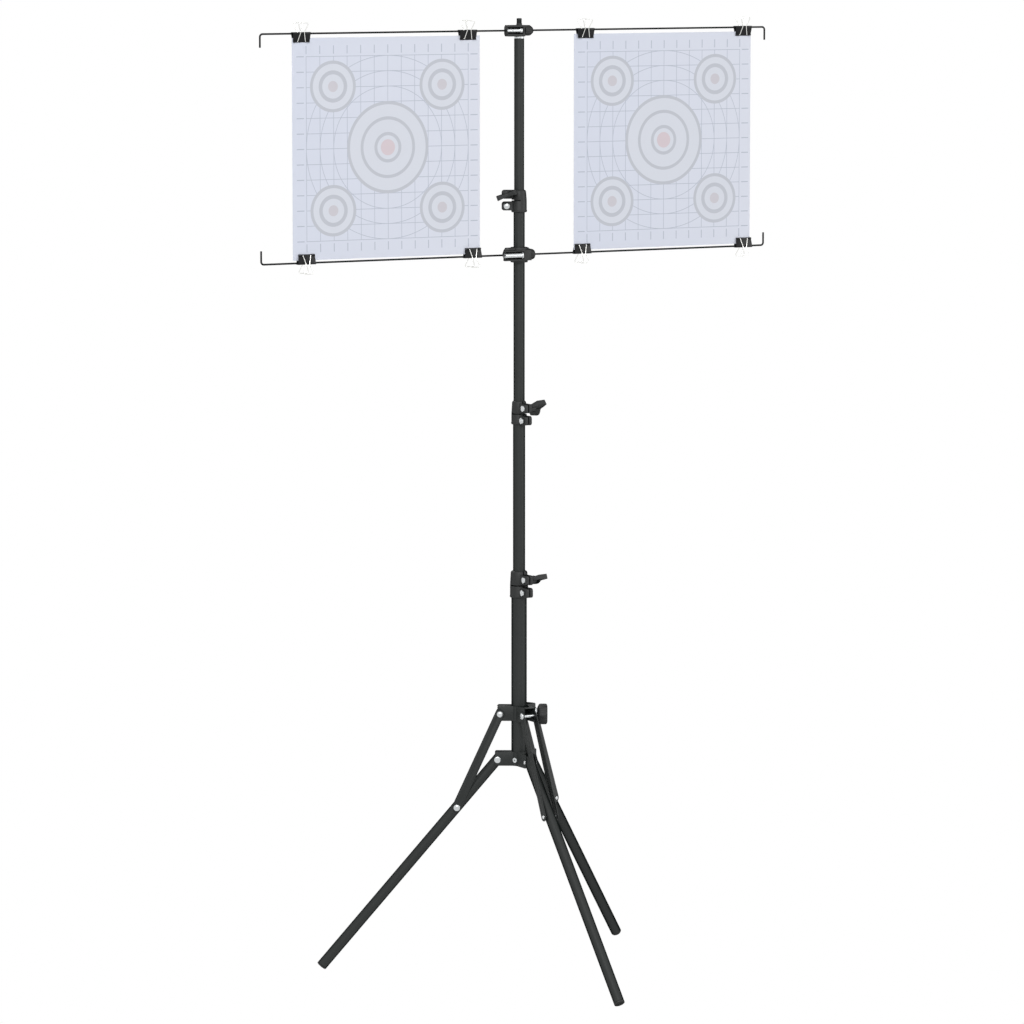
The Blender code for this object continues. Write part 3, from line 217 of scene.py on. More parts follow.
FRONT_SCREW_EASE = 0.5 * MM
FRONT_SCREW_TAIL = 2.0 * MM
TOP_KNOB_RADIUS = mm(8.4, 4.8)
TOP_KNOB_LENGTH = mm(10.4, 15.3)
LOWER_KNOB_RADIUS = mm(10.4, 7.2)
LOWER_KNOB_LENGTH = mm(1.2, 11.8)
CLAMP_KNOB_RIBS = 12
CLAMP_KNOB_RIB_POINTS = 8
CLAMP_KNOB_RIB_DEPTH = 0.7 * MM
PLUG_NECK_RADIUS = 4.2 * MM
PLUG_NECK_EASE = 0.4 * MM
END_PLUG_DEPTH = 15.0 * MM
WASHER_LIFT = 0.05 * MM
WASHER_EASE = 0.3 * MM
STUD_RADIUS = mm(4.5, 4.2)
STUD_THREAD_DEPTH = 0.35 * MM
STUD_TOP_ABOVE_ROD = 19.4 * MM

# Binder clips
CLIP_WIDTH = 31.2 * MM
CLIP_LIP_WIDTH = 28.4 * MM
CLIP_DEPTH = 16.0 * MM
CLIP_SPINE_HALF = 4.1 * MM
CLIP_SHEET = 0.45 * MM
CLIP_EDGE = 0.12 * MM
CLIP_PAST_ROD = 2.3 * MM
CURL_BORE_RADIUS = 1.0 * MM
CURL_INNER_X = 7.6 * MM
HANDLE_RADIUS = 0.7 * MM
HANDLE_TIP = 0.2 * MM
HANDLE_LEAN = 15.0
HANDLE_LIP_HALF = 6.4 * MM
HANDLE_NECK_HALF = 3.3 * MM
HANDLE_LOOP_HALF = 8.0 * MM
HANDLE_LOOP_ROUND = 2.8 * MM
HANDLE_LENGTH = 30.0 * MM
TOP_CLIP_INSET = mm(15.9, 22.1, 20.8, 15.4)
BOTTOM_CLIP_INSET = mm(23.2, 13.4, 15.6, 12.5)
CLIP_NAMES = ("left_outer", "left_inner", "right_inner", "right_outer")

# Paper targets and what is printed on them
PAPER_THICKNESS = 0.4 * MM
PAPER_BOW = 0.9 * MM
PAPER_UNEVENNESS = 0.2
PAPER_STEPS = 24
PAPER_WIDTH = 333.6 * MM
LEFT_PAPER_INWARD = 4.95 * MM
RIGHT_PAPER_FROM_ROD_END = 26.3 * MM
PAPER_BELOW_TOP_ROD = 6.8 * MM
PAPER_ABOVE_BOTTOM_ROD = 4.1 * MM
GRID_MM = 24.0
GRID_CELLS = 6
GRID_LINE_MM = 0.9
RING_MM = ((21.4, 5.2), (46.0, 5.0), (69.9, 5.0))
CORNER_RING_MM = ((22.0, 6.2), (37.8, 5.0))
THIN_RING_CELLS = (4, 5, 6)
CORNER_OFFSET_MM = 97.0
CENTRE_DOT_MM = 12.6
CORNER_DOT_MM = 8.6
TICK_MM = (148.0, 161.0)
TICK_HALF_WIDTH_MM = 0.72
TICK_PAST_GRID_MM = 2.0
PRINT_SHIFT_MM = 1.9
# Half the width of the painted shade across each sheet, which runs from darker at its left edge to lighter at
# its right edge
PAINTED_SHADE_HALF_WIDTH_MM = 167.0
PRINT_TINT = "D4D7E0"
PRINT_GREY = "BEC1CA"
PRINT_FINE = "B1B7C5"
PRINT_RED = "D2C5CB"
PRINT_SPOT = "C9C6CD"
FIBRE_MM = 3.5

# Grain of the coated, moulded and plated finishes
CLOUD_MM = 60.0
GRAIN_LIFT = 0.25
GRAIN_STOPS = (0.35, 0.65)
GRAIN_RANGE = (0.3, 0.7)

# Studio and camera, which stands at the photograph's place
WHITE = (1.0, 1.0, 1.0, 1.0)
FLOOR_SIZE = 12.0
FLOOR_DROP = 0.2 * MM
WORLD_LIGHT = 0.27
LAMP_AIM_Z = 0.8
LAMPS = (
    ("key_lamp", (-2.6, -4.2, 3.6), 2.4, 165.0),
    ("fill_lamp", (3.6, -3.4, 2.2), 2.6, 68.0),
    ("rear_lamp", (0.6, 4.0, 3.4), 2.4, 110.0),
)
CAMERA_AZIMUTH = -29.38
CAMERA_ELEVATION = 6.94
CAMERA_LENS = 176.3
CAMERA_SENSOR = 36.0
CAMERA_DISTANCE = 8.0734
CAMERA_AIM_SIDE = -11.401 * MM
CAMERA_AIM_Z = 0.750478
CAMERA_SEES_TO = 60.0

# Places worked out from the sizes above
COS_TILT = math.cos(math.radians(LEG_TILT))
SIN_TILT = math.sin(math.radians(LEG_TILT))
LEG_PIVOT_Z = LEG_LENGTH * COS_TILT + LEG_OD / 2 * SIN_TILT
COLLAR_SLOT_Z = tuple(LEG_PIVOT_Z + sum(STEP_HEIGHT[: i + 1]) for i in range(3))
COLUMN_BASE_Z = LEG_PIVOT_Z - BASE_BELOW_LEG_PIVOT
COLUMN_TOP_Z = COLLAR_SLOT_Z[2] + STEP_HEIGHT[3]
TOP_ROD_Z = COLUMN_TOP_Z + TOP_ROD_ABOVE_COLUMN
BOTTOM_ROD_Z = COLLAR_SLOT_Z[2] - BOTTOM_ROD_BELOW_COLLAR
FOOT_R = LEG_PIVOT_R + LEG_LENGTH * SIN_TILT
STRUT_FOOT_R = LEG_PIVOT_R + STRUT_ALONG_LEG * SIN_TILT
STRUT_FOOT_Z = LEG_PIVOT_Z - STRUT_ALONG_LEG * COS_TILT
STRUT_RISE = math.sqrt(STRUT_LENGTH**2 - (STRUT_FOOT_R - STRUT_PIVOT_R) ** 2)
STRUT_PIVOT_Z = STRUT_FOOT_Z + STRUT_RISE
STRUT_TILT = math.degrees(math.asin((STRUT_FOOT_R - STRUT_PIVOT_R) / STRUT_LENGTH))
REAR_SPREAD = math.sin(math.radians(30.0))
FRONT_REACH = FOOT_R + LEG_OD / 2 * COS_TILT
REAR_REACH = FOOT_R * REAR_SPREAD + LEG_OD / 2 * math.sqrt(1 - (SIN_TILT * REAR_SPREAD) ** 2)
COLUMN_Y = (FRONT_REACH - REAR_REACH) / 2
ARM_INNER = LEG_OD / 2 + TOUCH
ARM_OUTER = ARM_INNER + SHEET
STRIP_INNER = ARM_OUTER + RIVET_HEAD_HEIGHT + TOUCH
STRIP_OUTER = STRIP_INNER + STRIP_THICKNESS
UPPER_ARM_OUTER = STRIP_INNER - TOUCH
UPPER_ARM_INNER = UPPER_ARM_OUTER - SHEET
SPIDER_BORE_R = TUBE_OD[0] / 2 + TOUCH
CURL_RADIUS = CURL_BORE_RADIUS + CLIP_SHEET
LIP_GAP = PAPER_THICKNESS / 2 + TOUCH
CURL_DEPTH = CLIP_DEPTH - CURL_RADIUS
CURL_HEIGHT = LIP_GAP + CURL_RADIUS
PAPER_X = {
    "left": LEFT_PAPER_INWARD - (ROD_REACH + LOWER_CLAMP_LEFT) / 2,
    "right": ROD_REACH - RIGHT_PAPER_FROM_ROD_END - PAPER_WIDTH / 2,
}


def clip_places(insets):
    """Where the four clips on a crossbar stand, each inset from an edge of a sheet."""
    edges = [x + side * PAPER_WIDTH / 2 for x in PAPER_X.values() for side in (-1, 1)]
    return [edge + inward * inset for edge, inward, inset in zip(edges, (1, -1, 1, -1), insets)]


# Colour and node helpers

def srgb(code):
    """Linear colour from an sRGB hex code."""
    parts = [int(code[i : i + 2], 16) / 255 for i in (0, 2, 4)]
    return (*(v / 12.92 if v <= 0.04045 else ((v + 0.055) / 1.055) ** 2.4 for v in parts), 1.0)


def add_node(tree, kind, inputs=None, **settings):
    """Add a shader node; inputs are values or (node, output) pairs by socket name or number."""
    node = tree.nodes.new("ShaderNode" + kind)
    for key, value in settings.items():
        setattr(node, key, value)
    for key, value in (inputs or {}).items():
        if isinstance(value, tuple) and isinstance(value[0], bpy.types.Node):
            tree.links.new(value[0].outputs[value[1]], node.inputs[key])
        else:
            node.inputs[key].default_value = value
    return node


def blank_material(name):
    material = bpy.data.materials.new(name)
    material.use_nodes = True
    material.node_tree.nodes.clear()
    return material, material.node_tree


def noise(tree, place, size_mm, detail, roughness=0.5):
    """Grain of a given size, fixed to its piece."""
    look = {"Scale": 1.0 / (size_mm * MM), "Detail": detail, "Roughness": roughness}
    return add_node(tree, "TexNoise", {"Vector": (place, "Object"), **look})


def mapped(tree, value, low, high, new_low, new_high):
    """A value moved from one range to another."""
    limits = {"From Min": low, "From Max": high, "To Min": new_low, "To Max": new_high}
    return (add_node(tree, "MapRange", {"Value": value, **limits}), 0)


def mixed(tree, factor, first, second):
    """A colour between two colours."""
    return (add_node(tree, "Mix", {"Factor": factor, 6: first, 7: second}, data_type="RGBA"), 2)


def relief(tree, grain, strength, depth_mm):
    bump = add_node(tree, "Bump", {"Height": (grain, "Fac"), "Strength": strength, "Distance": depth_mm * MM})
    return (bump, 0)


def maths(tree, operation, first, second=0.0):
    """One arithmetic step between numbers or (node, output) pairs."""
    return (add_node(tree, "Math", {0: first, 1: second}, operation=operation), 0)


def band(tree, value, centre, width):
    """1 where a distance lies within a stroke's width of its centre line, else 0."""
    offset = maths(tree, "ABSOLUTE", maths(tree, "SUBTRACT", value, centre))
    return maths(tree, "LESS_THAN", offset, width / 2)


def strongest(tree, items):
    result = items[0]
    for item in items[1:]:
        result = maths(tree, "MAXIMUM", result, item)
    return result


def grained_material(name, light, dark, roughness, grain_mm, bump_mm, metallic=0.0, ior=1.5, gloss=0.5,
                     fade=(0.3, 0.7), spread=0.08):
    """A coated, moulded or plated finish: fine grain in colour, roughness and relief."""
    material, tree = blank_material(name)
    place = add_node(tree, "TexCoord")
    grain = noise(tree, place, grain_mm, detail=3.0, roughness=0.55)
    cloud = noise(tree, place, CLOUD_MM, detail=2.0)
    factors = {0: (grain, "Fac"), 1: (cloud, "Fac"), 2: GRAIN_LIFT}
    both = add_node(tree, "Math", factors, operation="MULTIPLY_ADD")
    colour = add_node(tree, "ValToRGB", {"Fac": (both, 0)})
    for stop, position, code in zip(colour.color_ramp.elements, GRAIN_STOPS, (dark, light)):
        stop.position = position
        stop.color = srgb(code)
    look = {
        "Base Color": (colour, "Color"),
        "Metallic": metallic,
        "Roughness": mapped(tree, (grain, "Fac"), *GRAIN_RANGE, roughness - spread, roughness + spread),
        "Normal": relief(tree, grain, strength=0.5, depth_mm=bump_mm),
    }
    if not metallic:
        # The micro-rough surface shades itself at a grazing look, so its gloss fades towards the outlines
        facing = add_node(tree, "LayerWeight")
        look["Specular IOR Level"] = mapped(tree, (facing, "Facing"), *fade, gloss, 0.0)
        look["IOR"] = ior
    shader = add_node(tree, "BsdfPrincipled", look)
    add_node(tree, "OutputMaterial", {"Surface": (shader, 0)})
    return material


def printed_paper(name, painted_shade_left, painted_shade_right):
    """Matt coated paper, its front printed with a target: rings, circles, grid, ticks and tinted centres;
    painted shade makes the whole sheet darker towards its left edge.
    """
    material, tree = blank_material(name)
    place = add_node(tree, "TexCoord")
    per_mm = (1 / MM, 1 / MM, 1 / MM)
    in_mm = add_node(tree, "VectorMath", {0: (place, "Object"), 1: per_mm}, operation="MULTIPLY")
    split = add_node(tree, "SeparateXYZ", {0: (in_mm, 0)})

    def less(value, limit):
        return maths(tree, "LESS_THAN", value, limit)

    def times(first, second):
        return maths(tree, "MULTIPLY", first, second)

    def distance(dx, dy):
        return maths(tree, "SQRT", maths(tree, "ADD", times(dx, dx), times(dy, dy)))

    def on_grid_line(value, half_width):
        return less(maths(tree, "PINGPONG", value, GRID_MM / 2), half_width)

    across = maths(tree, "SUBTRACT", (split, "X"), PRINT_SHIFT_MM)
    height = (split, "Z")
    from_middle = [maths(tree, "ABSOLUTE", value) for value in (across, height)]
    radius = distance(across, height)
    corner_radius = distance(*(maths(tree, "SUBTRACT", value, CORNER_OFFSET_MM) for value in from_middle))
    rings = [band(tree, radius, *ring) for ring in RING_MM]
    rings += [band(tree, corner_radius, *ring) for ring in CORNER_RING_MM]

    centre_edge = RING_MM[-1][0]
    corner_edge = CORNER_RING_MM[-1][0]
    outside_centre = maths(tree, "GREATER_THAN", radius, centre_edge)
    outside_corner = maths(tree, "GREATER_THAN", corner_radius, corner_edge)
    grid_edge = GRID_CELLS * GRID_MM
    in_field = times(*(less(value, grid_edge + GRID_LINE_MM / 2) for value in from_middle))
    lines = strongest(tree, [on_grid_line(value, GRID_LINE_MM / 2) for value in from_middle])
    grid = times(times(lines, in_field), times(outside_centre, outside_corner))
    circles = [band(tree, radius, cells * GRID_MM, GRID_LINE_MM) for cells in THIN_RING_CELLS]
    fine = [grid, times(strongest(tree, circles), outside_corner)]
    for along_edge, outward in (from_middle, from_middle[::-1]):
        in_margin = band(tree, outward, sum(TICK_MM) / 2, TICK_MM[1] - TICK_MM[0])
        in_row = less(along_edge, grid_edge + TICK_PAST_GRID_MM)
        fine.append(times(times(in_margin, on_grid_line(along_edge, TICK_HALF_WIDTH_MM)), in_row))

    layers = (
        (maths(tree, "MAXIMUM", less(radius, centre_edge), less(corner_radius, corner_edge)), PRINT_TINT),
        (strongest(tree, fine), PRINT_FINE),
        (strongest(tree, rings), PRINT_GREY),
        (less(radius, CENTRE_DOT_MM), PRINT_RED),
        (less(corner_radius, CORNER_DOT_MM), PRINT_SPOT),
    )
    normal = add_node(tree, "SeparateXYZ", {0: (place, "Normal")})
    front = less((normal, "Y"), 0.0)
    # Painted shade: the sheet's colour runs from darker at its left edge to lighter at its right edge, as the
    # light falls across it
    share = mapped(tree, across, -PAINTED_SHADE_HALF_WIDTH_MM, PAINTED_SHADE_HALF_WIDTH_MM, 0.0, 1.0)
    colour = mixed(tree, share, srgb(painted_shade_left), srgb(painted_shade_right))
    for factor, ink in layers:
        colour = mixed(tree, times(factor, front), colour, srgb(ink))
    fibre = noise(tree, place, FIBRE_MM, detail=4.0)
    surface = relief(tree, fibre, strength=0.25, depth_mm=0.05)
    look = {"Base Color": colour, "Normal": surface, "Roughness": 0.75, "IOR": 1.45}
    shader = add_node(tree, "BsdfPrincipled", look)
    add_node(tree, "OutputMaterial", {"Surface": (shader, 0)})
    return material


# Mesh helpers

def new_object(name, data):
    made = bpy.data.objects.new(name, data)
    bpy.context.collection.objects.link(made)
    return made


def shape_object(bm, name, material, sharp=SHARP_FROM):
    bmesh.ops.remove_doubles(bm, verts=bm.verts, dist=1e-7)
    bmesh.ops.recalc_face_normals(bm, faces=bm.faces)
    mesh = bpy.data.meshes.new(name)
    bm.to_mesh(mesh)
    bm.free()
    mesh.shade_smooth()
    mesh.set_sharp_from_angle(angle=math.radians(sharp))
    mesh.materials.append(material)
    return new_object(name, mesh)


def polar(radius, degrees):
    angle = math.radians(degrees)
    return radius * math.cos(angle), radius * math.sin(angle)


def arc(centre, radius, start, end, steps):
    made = []
    for step in range(steps + 1):
        u, v = polar(radius, start + (end - start) * step / steps)
        made.append((centre[0] + u, centre[1] + v))
    return made


def rounded(points, radius, steps):
    """A 2-D outline with each corner replaced by an arc."""
    outline = []
    count = len(points)
    for i in range(count):
        corner = Vector(points[i])
        before = (Vector(points[i - 1]) - corner).normalized()
        after = (Vector(points[(i + 1) % count]) - corner).normalized()
        half = before.angle(after) / 2
        setback = radius / math.tan(half)
        centre = corner + (before + after).normalized() * radius / math.sin(half)
        start = corner + before * setback - centre
        turn = start.angle_signed(corner + after * setback - centre)
        for step in range(steps + 1):
            outline.append(tuple(centre + Matrix.Rotation(-turn * step / steps, 2) @ start))
    return outline


def eased_ring(bore, radius, low, high, ease):
    """Half the section of a tube or washer whose outer edges are eased."""
    return [(bore, low), (radius - ease, low), (radius, low + ease),
            (radius, high - ease), (radius - ease, high), (bore, high)]


def dome(radius, seat, base, height, shares):
    """Half the section of a low head: its rim at the seat, then its dome above the base."""
    return [(radius, seat)] + [(radius * out, base + height * up) for out, up in shares]


def thread(first, second, low, high):
    """Half the section of a thread: two radii in turn, half a pitch apart."""
    points = []
    for turn in range(int((high - low) / THREAD_PITCH)):
        points += [(first, low + turn * THREAD_PITCH), (second, low + (turn + 0.5) * THREAD_PITCH)]
    return points


def lathe(profile, segments=FULL_ROUND):
    """A closed profile of (radius, height) points turned about Z."""
    bm = bmesh.new()
    points = [bm.verts.new((r, 0.0, z)) for r, z in profile]
    edges = [bm.edges.new((points[i - 1], points[i])) for i in range(len(points))]
    for core in [e for e in edges if all(v.co.x == 0.0 for v in e.verts)]:
        bm.edges.remove(core)
    bmesh.ops.spin(
        bm, geom=list(bm.verts) + list(bm.edges), angle=2 * math.pi, steps=segments, axis=(0, 0, 1),
        cent=(0, 0, 0), use_merge=True,
    )
    bmesh.ops.remove_doubles(bm, verts=bm.verts, dist=1e-7)
    return bm


def skin(bm, rings, capped=True):
    """Faces from each ring of points to the next, and over both ends."""
    for first, second in zip(rings, rings[1:]):
        for k in range(len(first)):
            bm.faces.new((first[k - 1], first[k], second[k], second[k - 1]))
    if capped:
        bm.faces.new(rings[0])
        bm.faces.new(rings[-1])
    return bm


def prism(outline, low, high, axes="xyz"):
    """Extrude a 2-D outline between two levels; axes names its two directions, then that of the levels."""
    bm = bmesh.new()
    rings = []
    for level in (low, high):
        places = [dict(zip(axes, (*point, level))) for point in outline]
        rings.append([bm.verts.new((place["x"], place["y"], place["z"])) for place in places])
    return skin(bm, rings)


def box(low, high):
    corners = [(low[0], low[1]), (high[0], low[1]), (high[0], high[1]), (low[0], high[1])]
    return prism(corners, low[2], high[2])


def cylinder(radius, low, high, segments=SMALL_ROUND):
    return lathe([(0.0, low), (radius, low), (radius, high), (0.0, high)], segments)


def turned(bm, degrees, axis="Z"):
    spin = Matrix.Rotation(math.radians(degrees), 3, axis)
    bmesh.ops.rotate(bm, verts=bm.verts, cent=(0, 0, 0), matrix=spin)
    return bm


def along_x(bm):
    """Turn a shape made about Z so that it lies along X."""
    return turned(bm, 90, "Y")


def along_y(bm):
    """Turn a shape made about Z so that it lies along Y."""
    return turned(bm, -90, "X")


def shifted(bm, offset):
    bmesh.ops.translate(bm, verts=bm.verts, vec=offset)
    return bm


def apply_modifiers(target, sharp):
    bpy.context.view_layer.update()
    graph = bpy.context.evaluated_depsgraph_get()
    result = bpy.data.meshes.new_from_object(target.evaluated_get(graph))
    target.modifiers.clear()
    bm = bmesh.new()
    bm.from_mesh(result)
    bmesh.ops.remove_doubles(bm, verts=bm.verts, dist=WELD)
    bmesh.ops.dissolve_degenerate(bm, edges=bm.edges, dist=WELD)
    bm.to_mesh(result)
    bm.free()
    result.name = target.name
    target.data = result
    result.shade_smooth()
    result.set_sharp_from_angle(angle=math.radians(sharp))


def combine(target, operation, *shapes):
    """Join shapes to the target, cut them away or keep what they share with it."""
    for bm in shapes:
        tool = shape_object(bm, "tool", target.data.materials[0])
        step = target.modifiers.new("step", "BOOLEAN")
        step.operation = operation
        step.object = tool
        apply_modifiers(target, SHARP_FROM)
        bpy.data.objects.remove(tool, do_unlink=True)


def soften(target, width, segments=2):
    """Round the edges, as moulding, pressing and coating leave them."""
    step = target.modifiers.new("edge", "BEVEL")
    step.width = width
    step.segments = segments
    step.limit_method = "ANGLE"
    step.angle_limit = math.radians(ROUNDED_FROM)
    apply_modifiers(target, SHARP_FROM_WHEN_ROUNDED)


def wire(points, radius, tip):
    """A round wire through points in the XZ plane, its ends rounded by tip."""
    bm = bmesh.new()
    normal = Vector((0.0, 1.0, 0.0))
    points = [Vector((x, 0.0, z)) for x, z in points]
    ways = [(second - first).normalized() for first, second in zip(points, points[1:])]
    rings = []
    for point, back, ahead in zip(points, ways[:1] + ways, ways + ways[-1:]):
        tangent = (back + ahead).normalized()
        side = tangent.cross(normal).normalized()
        stretch = 1.0 / max(0.5, tangent.dot(ahead))
        levels = [(point, radius)]
        if point is points[0]:
            levels = [(point, radius - tip), (point + tangent * tip, radius)]
        if point is points[-1]:
            levels = [(point - tangent * tip, radius), (point, radius - tip)]
        for middle, reach in levels:
            ring = []
            for k in range(WIRE_ROUND):
                angle = 2 * math.pi * (k + 0.5) / WIRE_ROUND
                offset = side * (reach * stretch * math.cos(angle)) + normal * (reach * math.sin(angle))
                ring.append(bm.verts.new(middle + offset))
            rings.append(ring)
    return skin(bm, rings)


def fluted(levels, lobes, points_per_lobe, bore=0.0):
    """Knob about Z: each level is (radius, height, depth of the grooves)."""
    count = lobes * points_per_lobe
    bm = bmesh.new()
    rings = []
    bore_levels = [(bore, levels[-1][1], 0.0), (bore, levels[0][1], 0.0)] if bore else []
    for radius, height, groove in levels + bore_levels:
        ring = []
        for k in range(count):
            angle = 2 * math.pi * k / count
            dip = 0.5 - 0.5 * math.cos(lobes * angle)
            reach = radius - groove * dip**2
            ring.append(bm.verts.new((reach * math.cos(angle), reach * math.sin(angle), height)))
        rings.append(ring)
    if bore:
        return skin(bm, rings + rings[:1], capped=False)
    return skin(bm, rings)


def ride_on(piece, body, slot, *nodes):
    """Hang a finished piece on its body and hide the nodes it stands for; the slot is not used."""
    bpy.context.view_layer.update()
    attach(piece, body)
    if nodes:
        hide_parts(*nodes)


def stand(piece, height, body, slot, *nodes):
    """Put a piece on the column's middle line at a height and hang it on its body."""
    piece.location = (0.0, COLUMN_Y, height)
    ride_on(piece, body, slot, *nodes)


# Column

def add_tube(index, body, finish):
    low = COLUMN_BASE_Z if index == 0 else COLLAR_SLOT_Z[index - 1] - TUBE_OVERLAP[index]
    high = COLUMN_TOP_Z if index == 3 else COLLAR_SLOT_Z[index] - TUBE_IN_COLLAR
    outer = TUBE_OD[index] / 2
    inner = outer - TUBE_WALL[index]
    section = eased_ring(inner, outer, low, high, TUBE_EASE)
    tube = shape_object(lathe(section), f"column_tube_{index + 1}", finish)
    if index == 0:
        for azimuth in EYELET_AZIMUTH:
            hole = along_x(cylinder(EYELET_BORE + 4 * TOUCH, inner - PAST, outer + PAST))
            shifted(hole, (0, 0, LEG_PIVOT_Z - EYELET_BELOW_LEG_PIVOT))
            combine(tube, "DIFFERENCE", turned(hole, azimuth))
    stand(tube, 0.0, body, "black_painted_steel", f"section_{index + 1}_tube")


def ear_middle(index, side):
    return side * (EAR_GAP + EAR_HEIGHT[index]) / 2


def ear_block(index, low, high):
    reach = COLLAR_EAR_REACH[index]
    inner = COLLAR_RADIUS[index] * 0.6
    outline = [
        (inner, low),
        *arc((reach - EAR_CORNER, low + EAR_CORNER), EAR_CORNER, -90, 0, 6),
        *arc((reach - EAR_CORNER, high - EAR_CORNER), EAR_CORNER, 0, 90, 6),
        (inner, high),
    ]
    return prism(outline, -EAR_HALF_WIDTH, EAR_HALF_WIDTH, "xzy")


def stand_on_collar(piece, index, body, slot, *nodes):
    piece.rotation_euler = (0.0, 0.0, math.radians(COLLAR_AZIMUTH[index]))
    stand(piece, COLLAR_SLOT_Z[index], body, slot, *nodes)


def bolt(end):
    """Half the section of a bolt through the ears, from its plain end to its head above them."""
    seat = EAR_HALF_WIDTH + BOLT_SEAT_GAP
    shank = [(0.0, end), (BOLT_RADIUS - BOLT_EASE, end), (BOLT_RADIUS, end + BOLT_EASE), (BOLT_RADIUS, seat)]
    return shank + dome(BOLT_HEAD_RADIUS, seat, EAR_HALF_WIDTH, BOLT_HEAD_HEIGHT, BOLT_DOME)


def add_collar(index, body, plastic, plated):
    """Moulded split collar with its two bolts."""
    radius = COLLAR_RADIUS[index]
    top = COLLAR_ABOVE_SLOT[index]
    base = -COLLAR_BELOW_SLOT[index]
    top_radius = radius - COLLAR_TAPER
    crown = COLLAR_CHAMFER
    bead = radius + COLLAR_BEAD
    bead_start, bead_full, bead_end = (base + level for level in COLLAR_BEAD_LEVELS)
    barrel = [
        (0.0, top), (top_radius - crown, top), (top_radius - 0.3 * crown, top - 0.5 * crown),
        (top_radius, top - 1.3 * crown), (radius, 0.0), (radius, bead_start), (bead, bead_full),
        (bead, bead_end), (radius - COLLAR_FOOT_INSET, base), (0.0, base),
    ]
    collar = shape_object(lathe(barrel), f"collar_{index + 1}_moulding", plastic)
    near = EAR_GAP / 2
    far = near + EAR_HEIGHT[index]
    combine(collar, "UNION", ear_block(index, near, far), ear_block(index, -far, -near))
    lower_bore = TUBE_OD[index] / 2 + TOUCH
    upper_bore = TUBE_OD[index + 1] / 2 + TOUCH
    step = -TUBE_IN_COLLAR + TOUCH
    bore = [(0.0, base - PAST), (lower_bore, base - PAST), (lower_bore, step), (upper_bore, step),
            (upper_bore, top + PAST), (0.0, top + PAST)]
    reach = COLLAR_EAR_REACH[index] + PAST
    combine(
        collar, "DIFFERENCE",
        lathe(bore),
        box((0.0, -SPLIT_WIDTH / 2, base - PAST), (reach, SPLIT_WIDTH / 2, top + PAST)),
        box((-radius * 0.2, -2 * radius, -SLOT_HEIGHT / 2), (reach, 2 * radius, SLOT_HEIGHT / 2)),
    )
    soften(collar, COLLAR_EDGE)
    stand_on_collar(collar, index, body, "black_plastic", f"collar_{index + 1}")

    nut_end = -EAR_HALF_WIDTH - NUT_HEIGHT
    clamp_bolt = [(r, -z) for r, z in bolt(-EAR_HALF_WIDTH - BOLT_STICKS_OUT)]
    fixing_bolt = bolt(nut_end - MM)
    hexagon = [polar(BOLT_HEAD_RADIUS, 60 * k + 30) for k in range(6)]
    nut = prism(hexagon, nut_end, -EAR_HALF_WIDTH - BOLT_SEAT_GAP)
    for name, side, bm in (
        ("clamp_bolt", 1, lathe(clamp_bolt, SMALL_ROUND)),
        ("fixing_bolt", -1, lathe(fixing_bolt, SMALL_ROUND)),
        ("fixing_nut", -1, nut),
    ):
        place = (COLLAR_BOLT_REACH[index], 0.0, ear_middle(index, side))
        metal = shape_object(shifted(along_y(bm), place), f"collar_{index + 1}_{name}", plated)
        if name == "fixing_nut":
            soften(metal, NUT_EDGE)
        stand_on_collar(metal, index, body, None)


def wing(side):
    """One wing of a knob, thicker towards its tip."""
    root, tip = WING_THICKNESS
    notch = WING_LENGTH - WING_NOTCH_DEPTH
    half = [
        (WING_HUB_RADIUS - 0.6 * MM, 0.0),
        (WING_REACH - 1.4 * MM, WING_ROOT),
        *arc((WING_REACH - WING_ROUND, WING_LENGTH - WING_ROUND), WING_ROUND, 0, 120, 8),
        (WING_HUB_RADIUS, notch + 2.0 * MM),
        (WING_HUB_RADIUS * 0.55, notch + 0.8 * MM),
        (0.0, notch),
        (0.0, 0.0),
    ]
    bm = prism([(side * u, v) for u, v in half], -0.5, 0.5, "xzy")
    for v in bm.verts:
        v.co.y *= root + (tip - root) * abs(v.co.x) / WING_REACH
    return bm


def add_wing_knob(index, plastic):
    radius = WING_HUB_RADIUS
    end = WING_HUB_LENGTH
    hub = [(0.0, 0.0), (radius, 0.0), (radius, end - 1.6 * MM), (radius - 0.6 * MM, end - 0.5 * MM),
           (radius - 1.8 * MM, end), (0.0, end)]
    knob = shape_object(lathe(hub), f"wing_knob_{index + 1}_moulding", plastic)
    combine(knob, "UNION", wing(-1), wing(1))
    combine(knob, "DIFFERENCE", cylinder(BOLT_RADIUS + TOUCH, -PAST, BOLT_STICKS_OUT + TOUCH))
    soften(knob, WING_EDGE, 3)
    outward = Vector((*polar(1.0, COLLAR_AZIMUTH[index]), 0.0))
    side = Vector((-outward.y, outward.x, 0.0))
    seat = outward * COLLAR_BOLT_REACH[index] + side * (EAR_HALF_WIDTH + TOUCH)
    knob.location = seat + Vector((0.0, COLUMN_Y, COLLAR_SLOT_Z[index] + ear_middle(index, 1)))
    spin = Matrix.Rotation(math.radians(WING_TURN[index]), 3, side)
    axes = Matrix((outward, Vector((0, 0, -1)), side)).transposed()
    knob.rotation_euler = (spin @ axes).to_euler()
    ride_on(knob, f"wing_knob_{index + 1}", "black_plastic", f"collar_{index + 1}_wing_knob")


# Tripod

def arm_frame(piece, azimuth, radius, height, tilt=0.0):
    """Place a piece on a tripod arm: its local X is outward and its Z is up."""
    x, y = polar(radius, azimuth)
    piece.location = (x, COLUMN_Y + y, height)
    piece.rotation_euler = (0.0, -math.radians(tilt), math.radians(azimuth))


